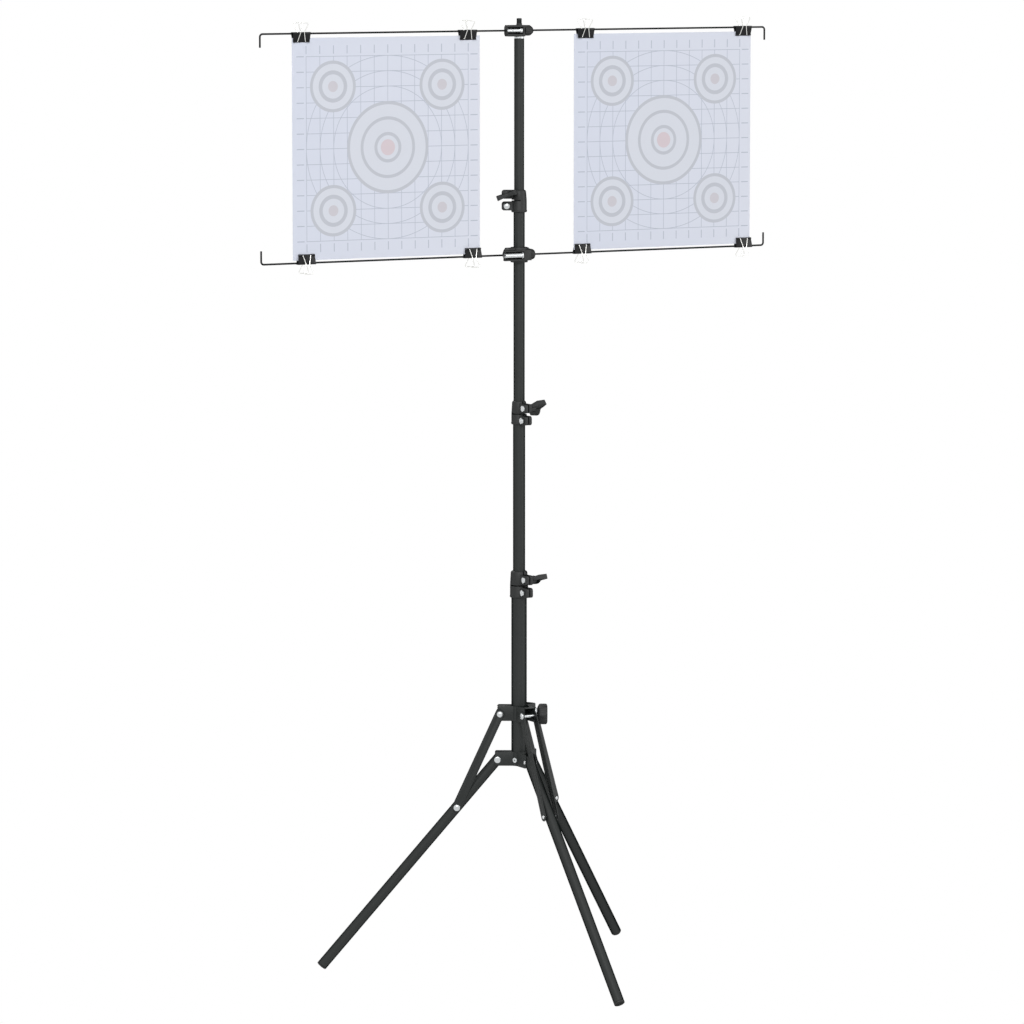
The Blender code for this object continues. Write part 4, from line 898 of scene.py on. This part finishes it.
def cross_rivet(outer, height, head_height, tail=RIVET_TAIL_RADIUS):
    """Rivet across an arm: a round head at one end and the smaller, set tail at the other."""
    seat = outer + RIVET_SEAT_GAP
    head, foot = (dome(radius, seat, outer, head_height, RIVET_DOME) for radius in (RIVET_HEAD_RADIUS, tail))
    profile = [(r, -z) for r, z in reversed(foot)] + [(RIVET_RADIUS, -seat), (RIVET_RADIUS, seat)] + head
    return shifted(along_y(lathe(profile, SMALL_ROUND)), (0.0, 0.0, height))


def spider_outline(reach, half_width, ring_radius):
    root = math.degrees(math.asin(half_width / ring_radius))
    outline = []
    for azimuth in sorted(ARM_AZIMUTH.values()):
        spin = Matrix.Rotation(math.radians(azimuth), 2)
        for side in (-1, 1):
            tip = tuple(spin @ Vector((reach + PAST, side * half_width)))
            foot = polar(ring_radius, azimuth + side * root)
            outline += [foot, tip] if side < 0 else [tip, foot]
        outline += arc((0.0, 0.0), ring_radius, azimuth + root, azimuth + 120.0 - root, 8)[1:-1]
    return outline


def pressed_spider(name, finish, span, reach, inner, outer, ring_radius, roof):
    """Folded sheet steel with three channel arms; a roof leaves their top closed."""
    low, high = span
    spider = shape_object(prism(spider_outline(reach, outer, ring_radius), low, high), name, finish)
    root = math.degrees(math.asin(inner / ring_radius))
    end = reach + 2 * PAST
    channel = [*arc((0.0, 0.0), ring_radius, root, -root, 10), (end, -inner), (end, inner)]
    top = high - SHEET if roof else high + PAST
    for azimuth in ARM_AZIMUTH.values():
        combine(spider, "DIFFERENCE", turned(prism(channel, low - PAST, top), azimuth))
    corner = ARM_CORNER
    envelope = [(0.0, low - PAST), (reach - corner - PAST, low - PAST), (reach, low + corner),
                (reach, high - corner), (reach - corner - PAST, high + PAST), (0.0, high + PAST)]
    combine(spider, "INTERSECT", lathe(envelope, 2 * FULL_ROUND))
    return spider


def add_lower_spider(steel, plated):
    low, high = LOWER_SPIDER_SPAN
    wall = SPIDER_BORE_R + SHEET
    arms = (LOWER_ARM_REACH, ARM_INNER, ARM_OUTER, wall)
    spider = pressed_spider("lower_spider_pressing", steel, LOWER_SPIDER_SPAN, *arms, roof=False)
    combine(spider, "DIFFERENCE", cylinder(SPIDER_BORE_R, low - PAST, high + PAST, FULL_ROUND))
    soften(spider, SPIDER_EDGE)
    stand(spider, LEG_PIVOT_Z, "base", "black_painted_steel", "lower_spider")
    for name, azimuth in ARM_AZIMUTH.items():
        rivet = shape_object(cross_rivet(ARM_OUTER, 0.0, RIVET_HEAD_HEIGHT), f"{name}_leg_rivet", plated)
        arm_frame(rivet, azimuth, LEG_PIVOT_R, LEG_PIVOT_Z)
        ride_on(rivet, "base", None)
    face = wall + EYELET_HEIGHT
    inside = wall - 3 * SHEET
    seat = wall - SHEET / 2
    barrel = EYELET_BORE + EYELET_WALL
    profile = [(EYELET_BORE, inside), (barrel, inside), (barrel, seat), (EYELET_RADIUS, seat),
               (EYELET_RADIUS * 0.95, face - 0.5 * MM), (EYELET_RADIUS * 0.7, face),
               (EYELET_BORE * 1.4, face), (EYELET_BORE, face - 0.4 * MM)]
    for number, azimuth in enumerate(EYELET_AZIMUTH):
        eyelet = shape_object(along_x(lathe(profile, SMALL_ROUND)), f"spider_eyelet_{number + 1}", plated)
        eyelet.rotation_euler = (0.0, 0.0, math.radians(azimuth))
        stand(eyelet, LEG_PIVOT_Z - EYELET_BELOW_LEG_PIVOT, "base", None)


def add_upper_spider(steel):
    low, high = UPPER_SPIDER_SPAN
    wall = SPIDER_BORE_R + 1.6 * SHEET
    arms = (UPPER_ARM_REACH, UPPER_ARM_INNER, UPPER_ARM_OUTER, wall)
    spider = pressed_spider("upper_spider_pressing", steel, UPPER_SPIDER_SPAN, *arms, roof=True)
    boss = cylinder(SCREW_RADIUS + SCREW_BOSS_WALL, SPIDER_BORE_R + SHEET / 2, wall + SCREW_BOSS_PROUD)
    hole = cylinder(SCREW_RADIUS + TOUCH, SPIDER_BORE_R - 3 * PAST, wall + 4 * PAST)
    for bm in (boss, hole):
        turned(shifted(along_x(bm), (0, 0, -SCREW_BELOW_PIVOT)), SCREW_AZIMUTH)
    combine(spider, "UNION", boss)
    straight = (PIVOT_SLOT_HEIGHT - PIVOT_SLOT_WIDTH) / 2
    slot = [*arc((STRUT_PIVOT_R, -straight), PIVOT_SLOT_WIDTH / 2, 180, 360, 8),
            *arc((STRUT_PIVOT_R, straight), PIVOT_SLOT_WIDTH / 2, 0, 180, 8)]
    wide = 2 * UPPER_ARM_OUTER
    slots = [turned(prism(slot, -wide, wide, "xzy"), azimuth) for azimuth in ARM_AZIMUTH.values()]
    combine(spider, "DIFFERENCE", cylinder(SPIDER_BORE_R, low - PAST, high + PAST, FULL_ROUND), hole, *slots)
    soften(spider, SPIDER_EDGE)
    stand(spider, STRUT_PIVOT_Z, "upper_spider_slide", "black_painted_steel", "upper_spider")


def add_thumb_screw(plastic, plated):
    start = SCREW_KNOB_START
    end = SCREW_KNOB_END
    groove = SCREW_KNOB_GROOVE
    reach = SCREW_KNOB_RADIUS
    levels = [
        (SCREW_KNOB_NECK_RADIUS - 0.5 * MM, start, 0.0),
        (SCREW_KNOB_NECK_RADIUS + 2.8 * MM, start + 1.2 * MM, groove * 0.4),
        (reach - 1.6 * MM, start + 2.8 * MM, groove),
        (reach - 0.4 * MM, start + 4.0 * MM, groove),
        (reach, start + 5.4 * MM, groove),
        (reach, end - 2.8 * MM, groove),
        (reach - 0.5 * MM, end - 1.6 * MM, groove),
        (reach - 1.8 * MM, end - 0.8 * MM, groove),
        (reach - 3.6 * MM, end - 0.2 * MM, groove * 0.5),
        (reach - 6.0 * MM, end, 0.0),
        (reach - 6.6 * MM, end - 0.8 * MM, 0.0),
    ]
    knob = fluted(levels, SCREW_KNOB_LOBES, SCREW_KNOB_LOBE_POINTS)
    knob = shape_object(knob, "thumb_screw_knob", plastic)
    tip = TUBE_OD[0] / 2 + TOUCH
    low = TUBE_OD[0] / 2 + THREAD_PITCH
    root = SCREW_RADIUS - SCREW_THREAD_DEPTH
    profile = [(0.0, tip), (SCREW_RADIUS - 0.8 * MM, tip), *thread(SCREW_RADIUS, root, low, start),
               (root, start + MM), (0.0, start + MM)]
    shank = shape_object(lathe(profile, SMALL_ROUND), "thumb_screw_shank", plated)
    for piece in (knob, shank):
        piece.rotation_euler = (0.0, math.pi / 2, math.radians(SCREW_AZIMUTH))
    height = STRUT_PIVOT_Z - SCREW_BELOW_PIVOT
    stand(knob, height, "spider_screw", "black_plastic", "spider_thumb_screw")
    stand(shank, height, "spider_screw", None)


def add_leg(name, azimuth, steel, plastic):
    """Leg tube with its foot plug, both meshes turned themselves so that their boxes stay tight."""
    outer = LEG_OD / 2
    inner = outer - LEG_WALL
    flange = -LEG_LENGTH + PLUG_FLANGE
    leg = lathe(eased_ring(inner, outer, flange + TOUCH, LEG_TOP, LEG_EASE))
    leg = shape_object(leg, f"{name}_leg_tube", steel)
    for height in (0.0, -STRUT_ALONG_LEG):
        hole = along_y(cylinder(RIVET_RADIUS + TOUCH, -2 * outer, 2 * outer))
        combine(leg, "DIFFERENCE", shifted(hole, (0, 0, height)))
    body = inner - TOUCH
    top = flange + FOOT_PLUG_DEPTH
    ease = FOOT_PLUG_EASE
    end = -LEG_LENGTH
    profile = [(0.0, top), (body - MM, top), (body, top - MM), (body, flange), (outer - ease, flange),
               (outer, flange - ease), (outer, end + 0.7 * MM), (outer - ease, end + ease),
               (outer - 0.7 * MM, end), (outer - 3.0 * MM, end), (outer - 3.4 * MM, end + 0.6 * MM),
               (0.0, end + 0.6 * MM)]
    plug = shape_object(lathe(profile), f"{name}_leg_plug", plastic)
    for piece, slot, node in ((leg, "black_painted_steel", "leg"), (plug, "black_plastic", "foot_plug")):
        arm_frame(piece, azimuth, LEG_PIVOT_R, LEG_PIVOT_Z, LEG_TILT)
        piece.data.transform(piece.rotation_euler.to_matrix().to_4x4())
        piece.rotation_euler = (0.0, 0.0, 0.0)
        ride_on(piece, f"{name}_leg_body", slot, f"{name}_{node}")


def add_strut(name, azimuth, steel, plated):
    """Two flat strips beside a leg and the rivets through their ends."""
    half = STRIP_WIDTH / 2
    outline = [*arc((0.0, STRUT_LENGTH), half, 0, 180, 16), *arc((0.0, 0.0), half, 180, 360, 16)]
    for side, low, high in (("left", STRIP_INNER, STRIP_OUTER), ("right", -STRIP_OUTER, -STRIP_INNER)):
        strip = shape_object(prism(outline, low, high, "xzy"), f"{name}_strut_{side}_strip", steel)
        for height in (0.0, STRUT_LENGTH):
            bore = along_y(cylinder(RIVET_RADIUS + STRIP_BORE_GAP, low - PAST, high + PAST))
            combine(strip, "DIFFERENCE", shifted(bore, (0, 0, height)))
        soften(strip, STRIP_EDGE)
        arm_frame(strip, azimuth, STRUT_FOOT_R, STRUT_FOOT_Z, STRUT_TILT)
        nodes = (f"{name}_strut",) if side == "left" else ()
        ride_on(strip, f"{name}_strut_body", "black_painted_steel", *nodes)
    for end, height, head_height, tail in (
        ("lower", 0.0, STRUT_LOWER_HEAD_HEIGHT, RIVET_TAIL_RADIUS),
        ("upper", STRUT_LENGTH, STRUT_UPPER_HEAD_HEIGHT, RIVET_HEAD_RADIUS),
    ):
        rivet = cross_rivet(STRIP_OUTER, height, head_height, tail)
        rivet = shape_object(rivet, f"{name}_strut_{end}_rivet", plated)
        arm_frame(rivet, azimuth, STRUT_FOOT_R, STRUT_FOOT_Z, STRUT_TILT)
        ride_on(rivet, f"{name}_strut_body", None)


# Crossbars

def add_rod(name, side, inner, bend, height, body, enamel):
    """Half a crossbar: straight, then hooked up or down."""
    corner = arc((ROD_REACH - ROD_BEND, ROD_BEND), ROD_BEND, -90, 0, 10)
    line = [(side * u, bend * v) for u, v in [(inner, 0.0), *corner, (ROD_REACH, ROD_HOOK)]]
    rod = shape_object(wire(line, ROD_RADIUS - ROD_UNDERSIZE, ROD_TIP), f"{name}_wire", enamel)
    stand(rod, height, body, "rod_steel", name)


def add_ferrule(plated):
    """Plated, flanged sleeve on the top left rod's inner end."""
    low, high = TOP_FERRULE
    end = high + FERRULE_FLANGE
    wide = FERRULE_FLANGE_RADIUS
    bore = ROD_RADIUS + SLEEVE_GAP
    ease = FERRULE_EASE
    profile = [(bore, low), (FERRULE_RADIUS - ease, low), (FERRULE_RADIUS, low + ease),
               (FERRULE_RADIUS, high), *eased_ring(bore, wide, high, end, ease)[1:]]
    sleeve = shape_object(along_x(lathe(profile, MIDDLE_ROUND)), "top_left_ferrule", plated)
    stand(sleeve, TOP_ROD_Z, "mast_4", None)


def end_block(left, right, below, above, nose):
    """Side view of a clamp body with a tapering left end."""
    lower = [(-left, -nose * 0.45), (-left + nose * 0.5, -below * 0.62), (-left + nose * 1.3, -below)]
    upper = [(-left + nose * 1.3, above), (-left + nose * 0.5, above * 0.62), (-left, nose * 0.45)]
    return [*lower, (right, -below), (right, above), *upper]


def add_top_clamp(plastic, plated, dark_metal):
    below, above = TOP_CLAMP_HALF_HEIGHT
    front = -TOP_CLAMP_FRONT
    rear = TOP_CLAMP_REAR
    left = TOP_CLAMP_LEFT
    side_view = end_block(left, TOP_CLAMP_RIGHT, below, above, TOP_CLAMP_NOSE)
    clamp = shape_object(prism(side_view, front, rear, "xzy"), "top_clamp_moulding", plastic)
    plan = rounded([(-left, front), (left, front), (left, rear), (-left, rear)], TOP_CLAMP_CORNER, 8)
    combine(clamp, "INTERSECT", prism(plan, -2 * below, 2 * above))
    half = WINDOW_HEIGHT / 2
    combine(
        clamp, "DIFFERENCE",
        box((TOP_WINDOW[0], 2 * front, -half), (TOP_WINDOW[1], rear - TOP_WINDOW_BACK, half)),
        along_x(cylinder(ROD_RADIUS + TOUCH, -2 * left, 2 * TOP_CLAMP_RIGHT)),
        cylinder(PLUG_NECK_RADIUS + TOUCH, -2 * below, -half - TOUCH),
    )
    soften(clamp, TOP_CLAMP_EDGE, 3)
    stand(clamp, TOP_ROD_Z, "mast_4", "black_plastic", "top_rod_clamp")

    shoulder, radius = STUD_RADIUS
    top = STUD_TOP_ABOVE_ROD
    profile = [
        (0.0, above - 0.5 * MM), (shoulder, above - 0.5 * MM), (shoulder, above + 2.2 * MM),
        (radius, above + 2.8 * MM),
        *thread(radius - STUD_THREAD_DEPTH, radius, above + 3.4 * MM, top - THREAD_PITCH),
        (radius - 0.2 * MM, top - 0.8 * MM), (radius - 0.9 * MM, top), (0.0, top),
    ]
    stud = shape_object(lathe(profile, SMALL_ROUND), "top_clamp_stud", dark_metal)
    stand(stud, TOP_ROD_Z, "mast_4", "black_painted_steel")
    add_ferrule(plated)


def add_end_plug(plastic, plated):
    """Plug in the top tube, its neck held by the top clamp, and the bright washer between the two."""
    neck_top = TOP_ROD_Z - WINDOW_HEIGHT / 2 - 2 * TOUCH - MM
    neck = PLUG_NECK_RADIUS
    outer = TUBE_OD[3] / 2
    body = outer - TUBE_WALL[3] - TOUCH
    shoulder = COLUMN_TOP_Z + TOUCH
    foot = shoulder - END_PLUG_DEPTH
    profile = [(0.0, neck_top), (neck - PLUG_NECK_EASE, neck_top), (neck, neck_top - PLUG_NECK_EASE),
               (neck, shoulder), (body, shoulder), (body, foot), (0.0, foot)]
    plug = shape_object(lathe(profile), "top_tube_plug", plastic)
    top = TOP_ROD_Z - TOP_CLAMP_HALF_HEIGHT[0] - TOUCH
    ring = eased_ring(neck + SLEEVE_GAP, outer, shoulder + WASHER_LIFT, top, WASHER_EASE)
    washer = shape_object(lathe(ring), "top_tube_washer", plated)
    stand(plug, 0.0, "mast_4", "black_plastic", "section_4_end_plug")
    stand(washer, 0.0, "mast_4", None)


def add_lower_clamp(plastic, plated):
    below, above = LOWER_CLAMP_HALF_HEIGHT
    bore = TUBE_OD[2] / 2 + TOUCH
    barrel = cylinder(LOWER_CLAMP_RADIUS, -below, above, FULL_ROUND)
    clamp = shape_object(barrel, "lower_clamp_moulding", plastic)
    side_view = end_block(LOWER_CLAMP_LEFT, LOWER_CLAMP_RIGHT, *LUG_HALF_HEIGHT, LOWER_CLAMP_NOSE)
    lug = LOWER_LUG_HALF_DEPTH
    half = FRONT_WINDOW_HEIGHT / 2
    front = FRONT_BOSS_DEPTH
    left, right = FRONT_BOSS
    rear = MM - lug
    corners = [(left, -front), (right, -front), (right, rear), (left + FRONT_BOSS_SLANT, rear)]
    boss = prism(rounded(corners, FRONT_BOSS_CORNER, 5), -BOSS_HALF_HEIGHT, BOSS_HALF_HEIGHT)
    combine(clamp, "UNION", prism(side_view, -lug, lug, "xzy"), boss)
    rod_hole = ROD_RADIUS + TOUCH
    wide = 2 * LOWER_CLAMP_LEFT
    combine(
        clamp, "DIFFERENCE",
        box((FRONT_WINDOW[0], -2 * front, -half), (FRONT_WINDOW[1], -bore - MM, half)),
        along_x(cylinder(rod_hole, -wide, -bore + 2 * PAST)),
        along_x(cylinder(rod_hole, bore - 2 * PAST, wide)),
        cylinder(bore, -2 * below, 2 * above, FULL_ROUND),
    )
    soften(clamp, LOWER_CLAMP_EDGE)
    stand(clamp, BOTTOM_ROD_Z, "lower_crossbar", "black_plastic", "lower_rod_clamp")
    near = FRONT_SCREW_END
    far = near + FRONT_SCREW_HEAD
    head = FRONT_SCREW_HEAD_RADIUS
    ease = FRONT_SCREW_EASE
    profile = [(0.0, left + MM), (FRONT_SCREW_RADIUS, left + MM),
               *eased_ring(FRONT_SCREW_RADIUS, head, near, far, ease)[:-1],
               (FRONT_SCREW_TAIL, far), (FRONT_SCREW_TAIL, right - MM), (0.0, right - MM)]
    screw = shape_object(along_x(lathe(profile, MIDDLE_ROUND)), "lower_clamp_screw", plated)
    screw.location = (0.0, COLUMN_Y - FRONT_SCREW_Y, BOTTOM_ROD_Z)
    ride_on(screw, "lower_crossbar", None)


def add_clamp_knob(level, start, lengths, radii, height, plastic):
    """Ribbed knob round the right rod's root, tapering from its shoulder to its end."""
    shoulder, length = lengths
    reach, end_reach = radii
    end = start + length
    rib = CLAMP_KNOB_RIB_DEPTH
    levels = [
        (reach - 0.6 * MM, start, rib),
        (reach, start + 0.6 * MM, rib),
        (reach, start + shoulder, rib),
        (reach - 0.4 * MM, start + shoulder + 0.6 * MM, rib),
        (end_reach + 0.8 * MM, end - 1.2 * MM, rib * 0.6),
        (end_reach + 0.2 * MM, end - 0.4 * MM, 0.0),
        (end_reach - 0.5 * MM, end, 0.0),
    ]
    knob = fluted(levels, CLAMP_KNOB_RIBS, CLAMP_KNOB_RIB_POINTS, ROD_RADIUS + TOUCH)
    knob = shape_object(knob, f"{level}_clamp_knob_moulding", plastic)
    knob.rotation_euler = (0.0, math.pi / 2, 0.0)
    stand(knob, height, f"{level}_knob", "black_plastic", f"{level}_clamp_knob")


# Clips and papers

def clip_half_width(depth):
    share = depth / CLIP_DEPTH
    return (CLIP_WIDTH * (1 - share) + CLIP_LIP_WIDTH * share) / 2


def clip_section():
    """Folded sheet seen from the side: rounded spine, faces that close towards the lips."""
    spine = CLIP_SPINE_HALF
    sheet = CLIP_SHEET
    lip = LIP_GAP + sheet
    face = []
    for step in range(7):
        share = step / 6
        face.append((CLIP_DEPTH + (1.2 * MM - CLIP_DEPTH) * share, lip + (spine - lip) * share**0.9))
    outer = [*face, (0.35 * MM, spine - 0.25 * MM), (0.0, spine - 0.9 * MM)]
    inner = [(sheet, spine - 1.1 * MM), (sheet + 0.4 * MM, spine - 0.25 * MM - sheet)]
    inner += [(s, y - sheet) for s, y in reversed(face)]
    return outer + [(s, -y) for s, y in reversed(outer)] + [(s, -y) for s, y in reversed(inner)] + inner


def clip_mesh(enamel):
    outline = clip_section()
    bm = bmesh.new()
    rings = [[bm.verts.new((side * clip_half_width(s), y, s)) for s, y in outline] for side in (-1, 1)]
    clip = shape_object(skin(bm, rings), "clip", enamel)
    middle = (CURL_DEPTH, CURL_HEIGHT)
    curl = arc(middle, CURL_RADIUS, -90, 180, 12) + arc(middle, CURL_BORE_RADIUS, 180, -90, 12)
    for side in (-1, 1):
        low, high = sorted((side * CURL_INNER_X, side * (clip_half_width(CLIP_DEPTH) - TOUCH)))
        for across in (-1, 1):
            combine(clip, "UNION", prism([(across * y, s) for s, y in curl], low, high, "yzx"))
    soften(clip, CLIP_EDGE)
    return clip


def handle_mesh(nickel):
    length = HANDLE_LENGTH
    loop = HANDLE_LOOP_HALF
    lip = HANDLE_LIP_HALF
    neck = HANDLE_NECK_HALF
    bend = HANDLE_LOOP_ROUND
    half = [
        (clip_half_width(CLIP_DEPTH) - 2 * TOUCH, 0.0),
        (lip + 1.0 * MM, 0.0),
        (lip + 0.45 * MM, 0.25 * MM),
        (lip + 0.1 * MM, 1.0 * MM),
        (neck + 0.2 * MM, CURL_DEPTH - 1.6 * MM),
        (neck, CURL_DEPTH),
        (neck + 0.4 * MM, CURL_DEPTH + 2.0 * MM),
        (loop - 0.1 * MM, length - 3.6 * MM),
        *arc((loop - bend, length - bend), bend, 0, 90, 6),
    ]
    path = half + [(-u, v) for u, v in reversed(half)]
    return shape_object(wire(path, HANDLE_RADIUS, HANDLE_TIP), "handle", nickel, SHARP_FROM_ON_WIRE)


def add_clips(level, rod_z, toward_paper, places, body, clip_model, handle_model):
    """The four clips on one crossbar, each with its front and rear wire handle."""
    pivot_z = rod_z + toward_paper * (CURL_DEPTH - CLIP_PAST_ROD)
    for name, x in zip(CLIP_NAMES, places):
        node = f"clip_{level}_{name}"
        clip = new_object(f"{node}_shell", clip_model.data.copy())
        clip.location = (x, COLUMN_Y, rod_z - toward_paper * CLIP_PAST_ROD)
        clip.rotation_euler = (0.0 if toward_paper > 0 else math.pi, 0.0, 0.0)
        ride_on(clip, body, "clip_enamel", node)
        for face, across in (("front", -1), ("rear", 1)):
            handle = new_object(f"{node}_{face}_wire", handle_model.data.copy())
            handle.location = (x, COLUMN_Y + across * CURL_HEIGHT, pivot_z)
            lean = across * math.radians(HANDLE_LEAN)
            handle.rotation_euler = (-lean if toward_paper < 0 else math.pi + lean, 0.0, 0.0)
            ride_on(handle, f"{level}_{name}_{face}_handle", "nickel_wire", f"{node}_{face}_handle")


def rim(rows):
    """The outer points of a grid, in order round it."""
    right = [row[-1] for row in rows[:-1]]
    left = [row[0] for row in rows[:0:-1]]
    return rows[0][:-1] + right + rows[-1][:0:-1] + left


def add_paper(side, paper):
    """A thin printed sheet with the slight bow that it has between its clips."""
    low = BOTTOM_ROD_Z + PAPER_ABOVE_BOTTOM_ROD
    high = TOP_ROD_Z - PAPER_BELOW_TOP_ROD
    half_width = PAPER_WIDTH / 2
    half_height = (high - low) / 2
    spots = [2 * k / PAPER_STEPS - 1 for k in range(PAPER_STEPS + 1)]
    bm = bmesh.new()
    rims = []
    for offset in (-PAPER_THICKNESS / 4, PAPER_THICKNESS / 4):
        rows = []
        for v in spots:
            row = []
            for u in spots:
                uneven = 1 - PAPER_UNEVENNESS + PAPER_UNEVENNESS * math.sin(3 * u + 2 * v)
                bow = PAPER_BOW * (1 - u * u) * (1 - v * v) * uneven
                row.append(bm.verts.new((u * half_width, bow + offset, v * half_height)))
            rows.append(row)
        for lower, upper in zip(rows, rows[1:]):
            for i in range(PAPER_STEPS):
                bm.faces.new((lower[i], lower[i + 1], upper[i + 1], upper[i]))
        rims.append(rim(rows))
    skin(bm, rims, capped=False)
    sheet = shape_object(bm, f"{side}_paper_target", paper)
    sheet.location = (PAPER_X[side], COLUMN_Y, (low + high) / 2)
    ride_on(sheet, "mast_4", "target_paper", f"{side}_target_sheet")


# Studio

def white_when_seen(tree, lit, white, output):
    """Plain white to the camera, to reflections and through clear pieces, and the lit look to other rays."""
    path = add_node(tree, "LightPath")
    seen = strongest(tree, [(path, f"Is {ray} Ray") for ray in ("Camera", "Glossy", "Transmission")])
    look = add_node(tree, "MixShader", {0: seen, 1: (lit, 0), 2: (white, 0)})
    add_node(tree, output, {"Surface": (look, 0)})


def add_studio():
    """Pale floor, white surroundings for the camera, soft lamps."""
    floor_material, tree = blank_material("studio_floor")
    matt = add_node(tree, "BsdfDiffuse", {"Color": srgb("F4F4F4")})
    glow = add_node(tree, "Emission", {"Color": WHITE, "Strength": 1.0})
    white_when_seen(tree, matt, glow, "OutputMaterial")
    bm = bmesh.new()
    bmesh.ops.create_grid(bm, x_segments=4, y_segments=4, size=FLOOR_SIZE)
    floor = shape_object(bm, "studio_floor", floor_material)
    floor.location = (0.0, 0.0, -FLOOR_DROP)

    world = bpy.data.worlds.new("studio")
    world.use_nodes = True
    bpy.context.scene.world = world
    tree = world.node_tree
    tree.nodes.clear()
    dim = add_node(tree, "Background", {"Color": srgb("EEF1F2"), "Strength": WORLD_LIGHT})
    white = add_node(tree, "Background", {"Color": WHITE, "Strength": 1.0})
    white_when_seen(tree, dim, white, "OutputWorld")

    for name, place, size, power in LAMPS:
        light = bpy.data.lights.new(name, "AREA")
        light.shape = "DISK"
        light.size = size
        light.energy = power
        lamp = new_object(name, light)
        lamp.location = place
        aim = Vector((0.0, COLUMN_Y, LAMP_AIM_Z)) - Vector(place)
        lamp.rotation_euler = aim.to_track_quat("-Z", "Y").to_euler()


def add_camera():
    elevation = math.radians(CAMERA_ELEVATION)
    x, y = polar(1.0, CAMERA_AZIMUTH)
    right = Vector((x, y, 0.0))
    back = Vector((y * math.cos(elevation), -x * math.cos(elevation), math.sin(elevation)))
    data = bpy.data.cameras.new("photo_camera")
    data.lens = CAMERA_LENS
    data.sensor_width = CAMERA_SENSOR
    data.clip_end = CAMERA_SEES_TO
    camera = new_object("photo_camera", data)
    aim = right * CAMERA_AIM_SIDE + Vector((0.0, COLUMN_Y, CAMERA_AIM_Z))
    camera.location = aim + back * CAMERA_DISTANCE
    camera.rotation_euler = (-back).to_track_quat("-Z", "Y").to_euler()
    bpy.context.scene.camera = camera


def main():
    bpy.context.scene.view_settings.view_transform = "Standard"
    add_camera()

    # Satin powder coat on steel: soft sheen and a fine orange peel, drawn at twice its size
    coat = ("1B1F1E", "151918", 0.55, 1.6, 0.05)
    edge_on = (0.6, 0.85)
    coated_tube = grained_material("powder_coated_steel_tube", *coat, ior=1.45, fade=(0.2, 0.52))
    coated_sheet = grained_material("powder_coated_steel_sheet", *coat, ior=1.45, fade=edge_on)
    # Moulded glass-filled nylon: matt black with a spark-eroded texture
    nylon = grained_material("moulded_nylon", "181A1A", "131515", 0.6, 0.9, 0.06)
    # Zinc plate on rivets and bolts: bright, a little cloudy
    zinc = grained_material("zinc_plated_steel", "DCDEDF", "BFC3C4", 0.26, 1.2, 0.01, metallic=1.0)
    # Bright nickel on sprung wire
    bright = ("EEEEEB", "E2E2DE", 0.18, 2.0, 0.0)
    nickel = grained_material("nickel_plated_wire", *bright, metallic=1.0, spread=0.04)
    # Stoved black enamel on spring steel clips
    enamel = ("0B0C0E", "07080A", 0.4, 2.2, 0.02)
    clip_enamel = grained_material("enamelled_spring_steel", *enamel, ior=1.45, gloss=0.3, fade=edge_on)
    # Black dip enamel on drawn rod
    rod_enamel = grained_material("enamelled_rod", "0D0F10", "090B0C", 0.5, 1.8, 0.03, ior=1.45, gloss=0.25)
    # Dark acetal of the guide bushes
    acetal = grained_material("moulded_acetal", "3A3C3C", "303232", 0.4, 1.5, 0.03, ior=1.48)
    # Paper colour at each sheet's left and right edge; the darker left edge is painted shade
    paper = printed_paper("printed_target_paper", "D3D7E4", "D7DAE5")

    for index, body in enumerate(("base", "mast_2", "mast_3", "mast_4")):
        add_tube(index, body, coated_tube)
        if index < 3:
            add_collar(index, body, nylon, zinc)
            add_wing_knob(index, nylon)
    for index in (2, 3, 4):
        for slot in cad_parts[f"section_{index}_guide_bush"].material_slots:
            slot.material = acetal

    add_lower_spider(coated_sheet, zinc)
    add_upper_spider(coated_sheet)
    add_thumb_screw(nylon, zinc)
    for name, azimuth in ARM_AZIMUTH.items():
        add_leg(name, azimuth, coated_tube, nylon)
        add_strut(name, azimuth, coated_sheet, zinc)

    add_top_clamp(nylon, zinc, coated_tube)
    add_end_plug(nylon, zinc)
    add_lower_clamp(nylon, zinc)
    for level, start, lengths, radii, height in (
        ("top", TOP_CLAMP_RIGHT, TOP_KNOB_LENGTH, TOP_KNOB_RADIUS, TOP_ROD_Z),
        ("lower", LOWER_CLAMP_RIGHT, LOWER_KNOB_LENGTH, LOWER_KNOB_RADIUS, BOTTOM_ROD_Z),
    ):
        add_clamp_knob(level, start + TOUCH, lengths, radii, height, nylon)
    add_rod("top_left_rod", -1, -TOP_FERRULE[1], -1, TOP_ROD_Z, "mast_4", rod_enamel)
    add_rod("top_right_rod", 1, TOP_WINDOW[1] + 2 * TOUCH, -1, TOP_ROD_Z, "mast_4", rod_enamel)
    for name, side in (("bottom_left_rod", -1), ("bottom_right_rod", 1)):
        add_rod(name, side, TUBE_OD[2] / 2 + 3 * TOUCH, 1, BOTTOM_ROD_Z, "lower_crossbar", rod_enamel)

    models = (clip_mesh(clip_enamel), handle_mesh(nickel))
    add_clips("top", TOP_ROD_Z, -1, clip_places(TOP_CLIP_INSET), "mast_4", *models)
    add_clips("bottom", BOTTOM_ROD_Z, 1, clip_places(BOTTOM_CLIP_INSET), "lower_crossbar", *models)
    for model in models:
        bpy.data.objects.remove(model, do_unlink=True)
    for side in PAPER_X:
        add_paper(side, paper)

    add_studio()


main()
